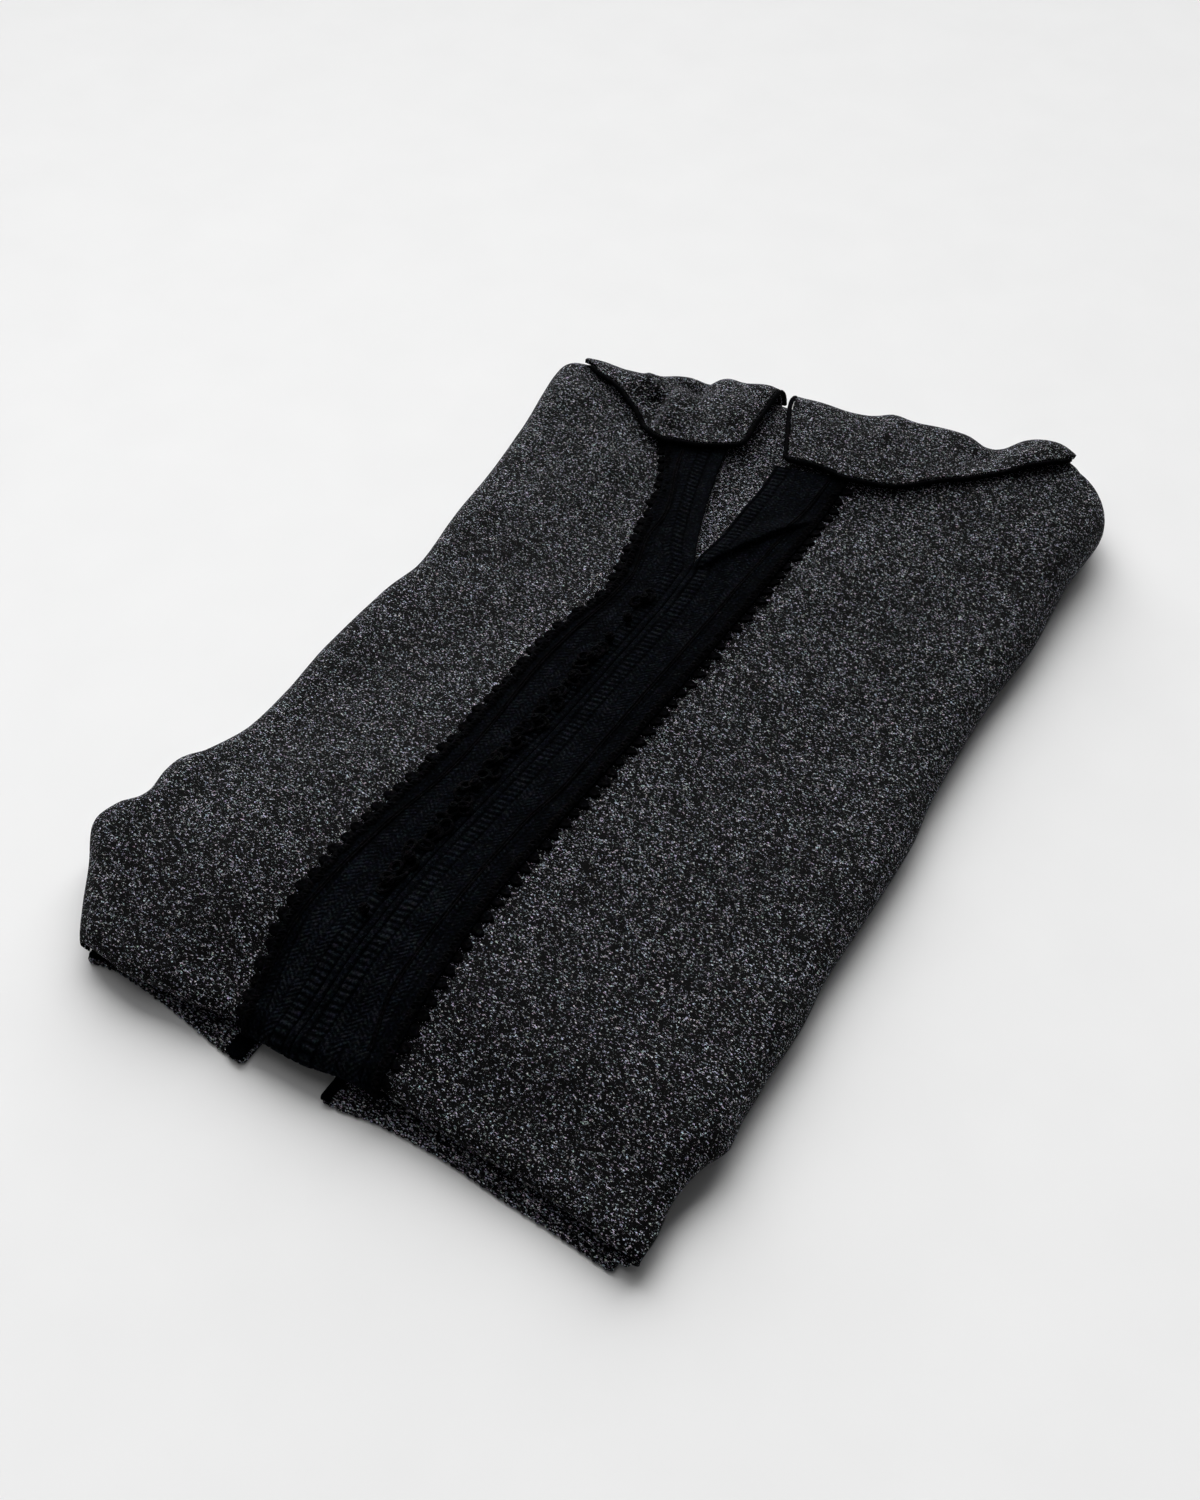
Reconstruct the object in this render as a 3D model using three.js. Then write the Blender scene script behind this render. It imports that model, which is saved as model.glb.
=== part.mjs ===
// Men's djellaba in marl wool, folded into a flat stack and laid on a table, front uppermost.
// Millimetres, +Z up. X runs across the folded stack, Y from the folded skirt to the neck.
// The hidden layers of the fold are one rounded solid. The cloth that shows is in walls over it.
import * as THREE from 'three';

// ---------------------------------------------------------------- driving dimensions
const CLOTH = 2.0; // wall of the marl cloth
const BRAID = 1.8; // wall of the woven and crocheted trim
const SEAM = 0.3; // clearance between pieces that touch
const TRIM_GAP = 0.6; // clearance of the trim over the fronts, whose folds it bridges
const CORD_R = 1.7; // radius of the black piping cord of the hood
const SIDE_ROLL = 13; // half-width of the fold down each long side
const FRONT_ROLL = 9; // reach of the fold at the skirt end
const BACK_ROLL = 12; // reach of the fold at the neck end
const FOLD_UNDER = 6; // height of the underside of the top fold at the skirt end
const HEM_BRAID_DEPTH = 20; // how far the braid on a skirt hem runs in under the top fold
const TOOTH_PITCH = 7.2; // spacing of the trim's crocheted points
const TOOTH_DEPTH = 5.5; // reach of those points over the cloth
const TOOTH_ROOT = 2.7; // trim's solid edge, in from the middle of the points
const TIP_Y = 316; // lower end of the neck slit
const TRIM_END_Y = 417; // trim's upper end, under the hood
const HOOD_LIFT = 3.6; // hood edge above the fronts where it lies on the trim
const HOOD_REST = 1.6; // and elsewhere
const HEM = 2.3; // thickness of a folded skirt hem
const HEM_BRAID = 1.2; // thickness of the braid on a skirt edge
const KNOT = { radius: 2.5, first: 66, pitch: 15.5, count: 15, x: -5 };

// Cross-sections down the stack: outlines of the long sides, and heights of the top.
const SECTIONS = table(
  ['y', 'left', 'right', 'zLeft', 'zMid', 'zRight'],
  [
    [0, -104, 162.5, 17, 15, 13],
    [16, -116, 164, 20, 16, 14],
    [31, -125.5, 165, 23, 20, 16],
    [48, -138.5, 167, 26, 25, 19],
    [60, -139.5, 168, 27, 27, 20],
    [74, -131, 168.5, 27, 28, 21],
    [86, -129.5, 168.5, 27, 28, 21],
    [104, -124, 168, 26, 28, 21],
    [124, -118.5, 167.5, 25, 28, 21],
    [150, -118, 166.5, 25, 28, 21],
    [184, -120.5, 166, 25, 27, 21],
    [230, -120, 163.5, 25, 26.5, 21],
    [256, -118, 161.5, 25, 26, 21],
    [290, -123.5, 160.5, 25.5, 26, 21.5],
    [330, -129, 160, 26, 26, 22],
    [370, -136, 158.8, 27, 26, 22.5],
    [400, -142.5, 157.5, 28, 26.5, 24],
    [420, -147, 158, 28.5, 27.5, 27],
    [440, -148, 160, 28.5, 29, 29.5],
    [458, -146, 159.5, 27.5, 29, 30.5],
    [468, -145, 155.5, 27, 29, 31],
    [480, -143, 144.5, 27, 28, 31],
    [492, -141, 136, 26, 28, 31],
    [510, -140, 122, 26, 27, 30],
  ],
);

// Ends of the stack across its width: nose of the skirt fold and outline of the neck end.
const ENDS = table(
  ['x', 'front', 'back'],
  [
    [-150, 3, 426],
    [-138, 2, 431],
    [-122, 1, 436],
    [-104, -0.5, 439],
    [-84, 2, 437.5],
    [-64, 3, 439.5],
    [-52, 5, 449.5],
    [-40, 6.5, 459],
    [-28, 6.5, 465],
    [-12, 7, 462],
    [8, 7.5, 465.5],
    [24, 10.5, 469],
    [42, 11, 477.5],
    [60, 9.5, 482.5],
    [79, 9, 484],
    [90, 9, 482.5],
    [104, 9, 489],
    [116, 8.5, 496.5],
    [130, 7.5, 498.5],
    [146, 5.5, 490],
    [152, 5, 484],
    [160, 4, 474],
  ],
);

// Trim band down the fronts: its outer edges, and the two sides of the front opening.
const BAND = table(
  ['y', 'left', 'middle', 'gap', 'right'],
  [
    [0, -22, 2.3, 0, 47],
    [20, -28, 2.3, 0, 44],
    [55, -35.5, 2, 0, 41],
    [100, -36, 1.4, 0, 37.5],
    [160, -32, 3.5, 0, 38.5],
    [240, -33.5, 4, 0, 40],
    [285, -27.5, 3.6, 0, 40.5],
    [TIP_Y, -34, 3, 0, 41],
    [338, -39, 0.6, 8, 41],
    [361, -45, -3.5, 17, 41],
    [393, -61, -13.5, 27, 40],
    [415, -68, -19.5, 27, 39],
    [440, -72, -21, 26, 39],
    [465, -74, -24, 20, 39],
    [500, -74, -25, 18, 39],
  ],
);
const openingLeft = (y) => BAND.middle(y) - Math.max(BAND.gap(y), SEAM) / 2;
const openingRight = (y) => BAND.middle(y) + Math.max(BAND.gap(y), SEAM) / 2;

// Hood edge over the neck: front edge across the stack, in its left and right halves.
const HOOD_LEFT = table(
  ['x', 'edge'],
  [
    [-131, 428],
    [-109, 422],
    [-88, 414],
    [-76, 406],
    [-64, 398],
    [-41, 401],
    [-24, 416],
  ],
);
const HOOD_RIGHT = table(
  ['x', 'edge'],
  [
    [1, 411],
    [20, 410],
    [39, 412],
    [62, 422],
    [81, 440],
    [100, 460],
    [127, 483],
  ],
);
// Hood's free edges on both sides of the opening.
const HOOD_SLIT = table(
  ['y', 'left', 'right'],
  [
    [398, -26, 3],
    [414, -24, 0],
    [436, -25, -10],
    [462, -27, -20],
    [500, -27, -20],
  ],
);

// Soft folds of the top: a row for each, with its two ends, half-width and height.
const FOLDS = [
  { x0: -60, y0: 40, x1: -70, y1: 110, half: 26, height: 3.5 },
  { x0: -100, y0: 150, x1: -60, y1: 230, half: 24, height: -1.8 },
  { x0: -112, y0: 300, x1: -70, y1: 350, half: 22, height: 2.0 },
  { x0: -118, y0: 405, x1: -72, y1: 368, half: 13, height: 3.0 },
  { x0: -69, y0: 458, x1: -67, y1: 442, half: 15, height: -7 },
  { x0: 92, y0: 488, x1: 88, y1: 466, half: 9, height: -4.2 },
  { x0: 60, y0: 40, x1: 140, y1: 60, half: 26, height: 1.6 },
  { x0: 70, y0: 210, x1: 120, y1: 270, half: 30, height: -1.4 },
  { x0: 60, y0: 350, x1: 130, y1: 420, half: 26, height: 1.6 },
  { x0: 22, y0: 330, x1: 38, y1: 386, half: 15, height: -0.9 },
  { x0: 10, y0: 336, x1: 14, y1: 408, half: 15, height: 0.8 },
];

// Hood's own puffs and hollows, over its lift.
const HOOD_FOLDS = [
  { x0: -95, y0: 432, x1: -84, y1: 418, half: 9, height: 1.6 },
  { x0: -66, y0: 420, x1: -66, y1: 408, half: 7, height: -0.5 },
  { x0: -36, y0: 458, x1: -38, y1: 425, half: 11, height: 3.2 },
  { x0: 34, y0: 470, x1: 38, y1: 450, half: 9, height: 2.0 },
  { x0: 92, y0: 482, x1: 90, y1: 468, half: 8, height: -0.8 },
  { x0: 115, y0: 492, x1: 108, y1: 474, half: 10, height: 2.4 },
];

// Skirt layers under the top fold: height of the underside, how far back each runs to the step of
// the hidden layers, and the front edge across each.
const SKIRTS = [
  {
    name: 'skirt_left',
    under: 0,
    depth: 33,
    edge: [
      [-102, -1.2],
      [-90, 1],
      [-76, 2],
      [-61, 2],
      [-46, 0.4],
      [-30, -2],
      [-16, -3.4],
    ],
  },
  {
    name: 'skirt_right_lower',
    under: 0,
    depth: 33.8,
    edge: [
      [20, -0.4],
      [29, 0.2],
      [44, 3],
      [73, 4.2],
      [102, 2.5],
      [130, 1.4],
      [153.5, -0.4],
    ],
  },
  {
    name: 'skirt_right_upper',
    under: HEM + SEAM,
    depth: 26.6,
    edge: [
      [60, 9],
      [80, 5.5],
      [104, 5],
      [130, 4.4],
      [158, 3],
    ],
  },
];
const SKIRT_BRAIDS = [
  { name: 'skirt_braid_left', from: -25.5, to: -18, on: 0 },
  { name: 'skirt_braid_right', from: 20, to: 25.5, on: 1 },
];

// ---------------------------------------------------------------- tables and easing
// A table with named columns, read by smooth interpolation in its first column.
function table(columns, rows) {
  const key = rows.map((row) => row[0]);
  const slopeAt = (k, c) => {
    const a = Math.max(k - 1, 0);
    const b = Math.min(k + 1, rows.length - 1);
    return (rows[b][c] - rows[a][c]) / (key[b] - key[a]);
  };
  const read = (at, c) => {
    const v = Math.min(Math.max(at, key[0]), key[key.length - 1]);
    let k = 0;
    while (k < key.length - 2 && v > key[k + 1]) k += 1;
    const span = key[k + 1] - key[k];
    const s = (v - key[k]) / span;
    const s2 = s * s;
    const s3 = s2 * s;
    return (
      (2 * s3 - 3 * s2 + 1) * rows[k][c] +
      (s3 - 2 * s2 + s) * span * slopeAt(k, c) +
      (3 * s2 - 2 * s3) * rows[k + 1][c] +
      (s3 - s2) * span * slopeAt(k + 1, c)
    );
  };
  const reader = {};
  columns.forEach((column, c) => {
    reader[column] = (at) => read(at, c);
  });
  return reader;
}

const lerp = THREE.MathUtils.lerp;
const ease = (s) => 0.5 - 0.5 * Math.cos(Math.PI * Math.min(Math.max(s, 0), 1));
const sine = (degrees) => Math.sin((degrees * Math.PI) / 180);
const cosine = (degrees) => Math.cos((degrees * Math.PI) / 180);

// Height of a set of soft folds at a place: each is a bell across its line, fading past its ends.
function foldHeight(folds, x, y) {
  let sum = 0;
  for (const fold of folds) {
    const dx = fold.x1 - fold.x0;
    const dy = fold.y1 - fold.y0;
    const along = ((x - fold.x0) * dx + (y - fold.y0) * dy) / (dx * dx + dy * dy);
    const s = Math.min(Math.max(along, 0), 1);
    const away = Math.hypot(x - fold.x0 - s * dx, y - fold.y0 - s * dy) / fold.half;
    sum += fold.height * Math.exp(-away * away);
  }
  return sum;
}

// ---------------------------------------------------------------- the outer face of the fronts
// It is a lattice of columns across the stack and rows along it. Every cloth piece is made from
// its points, moved along its normals.
const ROLL_TURNS = [-50, -15, 20, 55, 90];
const TOP_STEPS = [0.2, 0.42, 0.64, 0.84];

const COLUMNS = [
  ...ROLL_TURNS.map((turn) => ({ side: 'left', turn, x: -134 + 0.14 * turn })),
  ...TOP_STEPS.map((step) => ({ side: 'left', step, x: lerp(-122, -33, step) })),
  { side: 'band', edge: 'left', share: 0, x: -33 },
  { side: 'band', edge: 'left', share: 0.5, x: -15 },
  { side: 'band', edge: 'left', share: 1, x: 0 },
  { side: 'band', edge: 'right', share: 1, x: 4 },
  { side: 'band', edge: 'right', share: 0.5, x: 22 },
  { side: 'band', edge: 'right', share: 0, x: 40 },
  ...TOP_STEPS.map((step) => ({ side: 'right', step: 1 - step, x: lerp(40, 150, step) })),
  ...ROLL_TURNS.map((turn) => ({ side: 'right', turn, x: 156 - 0.07 * turn })).reverse(),
];
const BAND_EDGE_LEFT = COLUMNS.findIndex((column) => column.share === 0);
const OPEN_LEFT = BAND_EDGE_LEFT + 2;
const OPEN_RIGHT = OPEN_LEFT + 1;
const BAND_EDGE_RIGHT = OPEN_RIGHT + 2;
const LAST_COLUMN = COLUMNS.length - 1;

const FRONT_TURNS = [-50, -10, 30, 60, 90];
const BODY_STEPS = [0.03, 0.07, 0.115, 0.17, 0.24, 0.33, 0.42, 0.51, 0.6, 0.69, 0.77, 0.85, 0.93, 1];
const BACK_TURNS = [60, 25, -10, -50];
const ROWS = [
  ...FRONT_TURNS.map((turn) => ({ end: 'front', turn })),
  ...BODY_STEPS.map((step) => ({ end: 'body', step })),
  ...BACK_TURNS.map((turn) => ({ end: 'back', turn })),
];
const LAST_ROW = ROWS.length - 1;
const FIRST_BACK_ROW = LAST_ROW - BACK_TURNS.length + 1;
const LAST_STEP_ROW = FRONT_TURNS.length; // last row over the skirt layers
const CORNER_COLUMNS = 4; // columns and rows of the rolls that share a corner of the foot
const CORNER_ROWS = 2;

// The hood's two halves: front edge, outer end, the corner at the opening, and the free side.
const HOOD = {
  left: {
    edge: HOOD_LEFT,
    outer: -131,
    corner: { x: -27.5, y: 416.5 },
    slit: HOOD_SLIT.left,
    columns: [5, 6, 7, 7.5, 8, 8.5, 9, 9.5, 10, 10.5, 11],
  },
  right: {
    edge: HOOD_RIGHT,
    outer: 127,
    corner: { x: 2.5, y: 415 },
    slit: HOOD_SLIT.right,
    columns: [18.4, 18, 17.5, 17, 16.5, 16, 15, 14, 13.5, 13, 12.6],
  },
};
const HOOD_FALLS = [0, 0.1, 0.35, 0.67, 1];

// Height of the top at a place, apart from the rolls at its ends and sides.
function topHeight(x, y) {
  const leftTop = SECTIONS.left(y) + SIDE_ROLL;
  const rightTop = SECTIONS.right(y) - SIDE_ROLL;
  const bandLeft = BAND.left(y);
  const bandRight = BAND.right(y);
  const mid = SECTIONS.zMid(y);
  let z = mid;
  if (x < bandLeft) z = lerp(SECTIONS.zLeft(y), mid, ease((x - leftTop) / (bandLeft - leftTop)));
  if (x > bandRight) {
    z = lerp(SECTIONS.zRight(y), mid, ease((rightTop - x) / (rightTop - bandRight)));
  }
  return z + foldHeight(FOLDS, x, y);
}

// Reach and height, as shares, of the fold at an end of the stack. Over the top it is round and
// turns under. Towards the side folds it gets blunt, and ends at half height.
function endFold(turn, round) {
  const spent = (90 - turn) / 140;
  return {
    reach: lerp(sine(90 * spent), cosine(turn), round),
    rise: lerp(1 - 0.5 * spent * spent, 0.5 + 0.5 * sine(turn), round),
  };
}

function columnX(column, y) {
  const left = SECTIONS.left(y);
  const right = SECTIONS.right(y);
  const band = {
    left: { edge: BAND.left(y) + TOOTH_ROOT, open: openingLeft(y) },
    right: { edge: BAND.right(y) - TOOTH_ROOT, open: openingRight(y) },
  };
  if (column.side === 'band') {
    return lerp(band[column.edge].edge, band[column.edge].open, column.share);
  }
  const inner = column.side === 'left' ? left + SIDE_ROLL : right - SIDE_ROLL;
  if (column.turn === undefined) return lerp(inner, band[column.side].edge, column.step);
  const reach = SIDE_ROLL * (1 - cosine(column.turn));
  return column.side === 'left' ? left + reach : right - reach;
}

function latticePoint(column, row) {
  const front = ENDS.front(column.x);
  const back = ENDS.back(column.x);
  const bodyFrom = front + FRONT_ROLL;
  const bodyTo = back - BACK_ROLL;
  const round = column.turn === undefined ? 1 : Math.max(sine(column.turn), 0);
  const { reach, rise } = row.turn === undefined ? { reach: 0, rise: 1 } : endFold(row.turn, round);
  let y = lerp(bodyFrom, bodyTo, row.step ?? 0);
  if (row.end === 'front') y = bodyFrom - FRONT_ROLL * reach;
  if (row.end === 'back') y = bodyTo + BACK_ROLL * reach;
  const yTop = Math.min(Math.max(y, bodyFrom), bodyTo);
  const x = columnX(column, y);
  const around = column.turn === undefined ? 1 : 0.5 + 0.5 * sine(column.turn);
  const xTop = Math.min(Math.max(x, columnX(COLUMNS[4], y)), columnX(COLUMNS[LAST_COLUMN - 4], y));
  const low = FOLD_UNDER * (1 - ease((y - 34) / 44));
  const z = lerp(low, topHeight(xTop, yTop), around * rise);
  return new THREE.Vector3(x, y, z);
}

const POINTS = COLUMNS.map((column) => ROWS.map((row) => latticePoint(column, row)));
const NORMALS = latticeNormals(POINTS);

// Outward normals of a lattice: mean of the four triangles' fans at each point.
function latticeNormals(points) {
  const columns = points.length;
  const rows = points[0].length;
  return points.map((line, i) =>
    line.map((point, j) => {
      const east = points[Math.min(i + 1, columns - 1)][j];
      const west = points[Math.max(i - 1, 0)][j];
      const north = line[Math.min(j + 1, rows - 1)];
      const south = line[Math.max(j - 1, 0)];
      const across = new THREE.Vector3().subVectors(east, west);
      const along = new THREE.Vector3().subVectors(north, south);
      return across.cross(along).normalize();
    }),
  );
}

// A point on the outer face at fractional column and row, moved out by lift. It lies on the
// same two triangles of the lattice's cell that the walls have.
function onFace(c, r, lift = 0) {
  const i = Math.min(Math.max(Math.floor(c), 0), LAST_COLUMN - 1);
  const j = Math.min(Math.max(Math.floor(r), 0), LAST_ROW - 1);
  const [u, v] = [c - i, r - j];
  const mix = (field) => {
    const corner = u > v ? field[i + 1][j] : field[i][j + 1];
    const [first, second] = u > v ? [u, v] : [v, u];
    const step = corner.clone().sub(field[i][j]).multiplyScalar(first);
    const turn = field[i + 1][j + 1].clone().sub(corner).multiplyScalar(second);
    return field[i][j].clone().add(step).add(turn);
  };
  return mix(POINTS).addScaledVector(mix(NORMALS).normalize(), lift);
}

// Fractional row of the place at height y in a column, above the skirt fold.
function rowAt(c, y) {
  let low = FRONT_TURNS.length - 1;
  let high = FIRST_BACK_ROW + 1;
  for (let k = 0; k < 24; k += 1) {
    const half = (low + high) / 2;
    if (onFace(c, half).y < y) low = half;
    else high = half;
  }
  return (low + high) / 2;
}

// Fractional column of the place at x in a row.
function columnAt(x, r) {
  let low = 3;
  let high = LAST_COLUMN - 3;
  for (let k = 0; k < 24; k += 1) {
    const half = (low + high) / 2;
    if (onFace(half, r).x < x) low = half;
    else high = half;
  }
  return (low + high) / 2;
}

// Fractional column and row of a place on the top, from its x and y.
function placeOnFace(x, y) {
  let c = OPEN_LEFT;
  let r = rowAt(c, y);
  for (let turn = 0; turn < 8; turn += 1) {
    c = columnAt(x, r);
    r = rowAt(c, y);
  }
  return { c, r };
}

// ---------------------------------------------------------------- closed solids from grids
function solid(vertices, triangles) {
  const geometry = new THREE.BufferGeometry();
  const flat = vertices.flatMap((v) => [v.x, v.y, v.z]);
  geometry.setAttribute('position', new THREE.Float32BufferAttribute(flat, 3));
  geometry.setIndex(triangles);
  geometry.computeVertexNormals();
  return geometry;
}

// A wall between two grids of points of the same size, closed round its edges.
function wall(outer, inner) {
  const columns = outer.length;
  const rows = outer[0].length;
  const count = columns * rows;
  const at = (i, j) => i * rows + j;
  const vertices = [...outer.flat(), ...inner.flat()];
  const triangles = [];
  const quad = (a, b, c, d) => triangles.push(a, b, c, a, c, d);
  for (let i = 0; i < columns - 1; i += 1) {
    for (let j = 0; j < rows - 1; j += 1) {
      quad(at(i, j), at(i + 1, j), at(i + 1, j + 1), at(i, j + 1));
      triangles.push(count + at(i, j), count + at(i + 1, j + 1), count + at(i + 1, j));
      triangles.push(count + at(i, j), count + at(i, j + 1), count + at(i + 1, j + 1));
    }
  }
  const rim = [];
  for (let i = 0; i < columns - 1; i += 1) rim.push(at(i, 0));
  for (let j = 0; j < rows - 1; j += 1) rim.push(at(columns - 1, j));
  for (let i = columns - 1; i > 0; i -= 1) rim.push(at(i, rows - 1));
  for (let j = rows - 1; j > 0; j -= 1) rim.push(at(0, j));
  rim.forEach((a, k) => {
    const b = rim[(k + 1) % rim.length];
    quad(b, a, count + a, count + b);
  });
  return solid(vertices, triangles);
}

// A tube of round section along a path of points with a normal each, closed at its ends.
function tube(path, radius, sides) {
  const vertices = [];
  const triangles = [];
  path.forEach(({ point, normal }, k) => {
    const ahead = path[Math.min(k + 1, path.length - 1)].point;
    const behind = path[Math.max(k - 1, 0)].point;
    const along = new THREE.Vector3().subVectors(ahead, behind).normalize();
    const side = new THREE.Vector3().crossVectors(along, normal).normalize();
    const up = new THREE.Vector3().crossVectors(side, along);
    for (let s = 0; s < sides; s += 1) {
      const angle = (2 * Math.PI * s) / sides;
      const spoke = up.clone().multiplyScalar(Math.cos(angle));
      spoke.addScaledVector(side, Math.sin(angle));
      vertices.push(point.clone().addScaledVector(spoke, radius));
    }
  });
  const last = path.length - 1;
  for (let k = 0; k < last; k += 1) {
    for (let s = 0; s < sides; s += 1) {
      const t = (s + 1) % sides;
      const [a, b] = [k * sides + s, k * sides + t];
      const [c, d] = [a + sides, b + sides];
      triangles.push(a, b, c, b, d, c);
    }
  }
  for (let s = 1; s < sides - 1; s += 1) {
    triangles.push(0, s + 1, s);
    triangles.push(last * sides, last * sides + s, last * sides + s + 1);
  }
  return solid(vertices, triangles);
}

// ---------------------------------------------------------------- the pieces
const range = (from, to) => Array.from({ length: to - from + 1 }, (_, k) => from + k);
const facePatch = (columns, rows, lift) =>
  columns.map((c) => rows.map((r) => onFace(c, r, lift)));

const NECK_COLUMNS = range(OPEN_LEFT - 1, OPEN_RIGHT + 1);
const NECK_ROWS = range(Math.floor(rowAt(OPEN_LEFT, TIP_Y)) - 1, LAST_ROW);

// The folded layers that don't show: rounded over the top, flat where they rest, and stepped
// at the skirt end over the skirt layers.
function core() {
  const recessed = (i, j) => NECK_COLUMNS.includes(i) && j >= NECK_ROWS[0];
  const depth = (i, j) => (recessed(i, j) ? 2 : 1) * (CLOTH + SEAM);
  const outer = POINTS.map((line, i) => line.map((_, j) => onFace(i, j, -depth(i, j))));
  const rows = LAST_ROW + 1;
  const at = ([i, j]) => i * rows + j;
  const front = range(0, LAST_COLUMN - 1).map((i) => [i, 0]);
  const right = range(0, LAST_ROW - 1).map((j) => [LAST_COLUMN, j]);
  const back = range(1, LAST_COLUMN).reverse().map((i) => [i, LAST_ROW]);
  const left = range(1, LAST_ROW).reverse().map((j) => [0, j]);
  const rim = [...front, ...right, ...back, ...left];
  // Each corner of the foot is one point, in line with the sides and ends next to it.
  const footPlace = ([i, j]) => {
    const end = (n, last, near) => (n < near ? 0 : n > last - near ? last : undefined);
    const corner = [end(i, LAST_COLUMN, CORNER_COLUMNS), end(j, LAST_ROW, CORNER_ROWS)];
    return corner.includes(undefined) ? [i, j] : corner;
  };
  const footPoint = ([i, j]) => {
    const inward = (n, last, by) => (n === 0 ? by : n === last ? last - by : n);
    const alongEnd = outer[inward(i, LAST_COLUMN, CORNER_COLUMNS)][j];
    const alongSide = outer[i][inward(j, LAST_ROW, CORNER_ROWS)];
    const isCorner = (i === 0 || i === LAST_COLUMN) && (j === 0 || j === LAST_ROW);
    const { x } = isCorner ? alongSide : outer[i][j];
    const { y } = isCorner ? alongEnd : outer[i][j];
    return new THREE.Vector3(x, y, j <= LAST_STEP_ROW ? FOLD_UNDER - SEAM : 0);
  };
  const names = rim.map((place) => footPlace(place).join());
  const unique = [...new Set(names)];
  const foot = unique.map((name) => footPoint(name.split(',').map(Number)));
  const footIndex = names.map((name) => unique.indexOf(name));
  const vertices = [...outer.flat(), ...foot];
  const footAt = (k) => outer.length * rows + footIndex[k % rim.length];
  const triangles = [];
  const quad = (a, b, c, d) => triangles.push(a, b, c, a, c, d);
  for (let i = 0; i < LAST_COLUMN; i += 1) {
    for (let j = 0; j < LAST_ROW; j += 1) {
      quad(at([i, j]), at([i + 1, j]), at([i + 1, j + 1]), at([i, j + 1]));
    }
  }
  rim.forEach((place, k) => {
    const next = at(rim[(k + 1) % rim.length]);
    triangles.push(next, at(place), footAt(k));
    if (footAt(k) !== footAt(k + 1)) triangles.push(next, footAt(k), footAt(k + 1));
  });
  // The underside: the part over the skirt layers, the step, and the part that rests.
  const face = (ks) => {
    const feet = [...new Set(ks.map(footAt))];
    const outline = feet.map((f) => new THREE.Vector2(vertices[f].x, vertices[f].y));
    for (const [a, b, c] of THREE.ShapeUtils.triangulateShape(outline, [])) {
      triangles.push(feet[a], feet[c], feet[b]);
    }
  };
  const rightStep = front.length + LAST_STEP_ROW;
  const leftStep = rim.length - LAST_STEP_ROW;
  face([...range(leftStep, rim.length - 1), ...range(0, rightStep)]);
  face([leftStep, rightStep, rightStep + 1, leftStep - 1]);
  face(range(rightStep + 1, leftStep - 1));
  return solid(vertices, triangles);
}

function clothWall(columns, rows) {
  return wall(facePatch(columns, rows, 0), facePatch(columns, rows, -CLOTH));
}

function neckBack() {
  const top = -(CLOTH + SEAM);
  return wall(
    facePatch(NECK_COLUMNS, NECK_ROWS, top),
    facePatch(NECK_COLUMNS, NECK_ROWS, top - CLOTH),
  );
}

// One half of the trim: its outer edge runs out in points over the cloth.
function trim(side) {
  const left = side === 'left';
  const edge = left ? BAND_EDGE_LEFT : BAND_EDGE_RIGHT;
  const open = left ? OPEN_LEFT : OPEN_RIGHT;
  const away = left ? -1 : 1;
  const end = rowAt(edge, TRIM_END_Y);
  const rows = range(0, Math.floor(end)).concat(end);
  const noseY = onFace(edge, FRONT_TURNS.length - 1).y;
  const halfPitches = Math.floor((2 * (TRIM_END_Y - noseY)) / TOOTH_PITCH);
  for (let k = 1; k < halfPitches; k += 1) {
    const r = rowAt(edge, noseY + (k * TOOTH_PITCH) / 2);
    if (rows.every((other) => Math.abs(other - r) > 0.012)) rows.push(r);
  }
  rows.sort((a, b) => a - b);
  const reach = (r) => {
    const turn = (onFace(edge, r).y - noseY) / TOOTH_PITCH;
    const sway = 1 - Math.abs(2 * (turn - Math.floor(turn)) - 1);
    return r < FRONT_TURNS.length - 1 ? TOOTH_DEPTH / 2 : TOOTH_DEPTH * sway;
  };
  const tip = (r) => {
    const width = onFace(edge, r).distanceTo(onFace(edge + away, r));
    return edge + (away * (0.4 + reach(r))) / width;
  };
  const mid = edge - away;
  const columnsAt = (r) => (left ? [tip(r), edge, mid, open] : [open, mid, edge, tip(r)]);
  const grid = (lift) => range(0, 3).map((c) => rows.map((r) => onFace(columnsAt(r)[c], r, lift)));
  return wall(grid(TRIM_GAP + BRAID), grid(TRIM_GAP));
}

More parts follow.
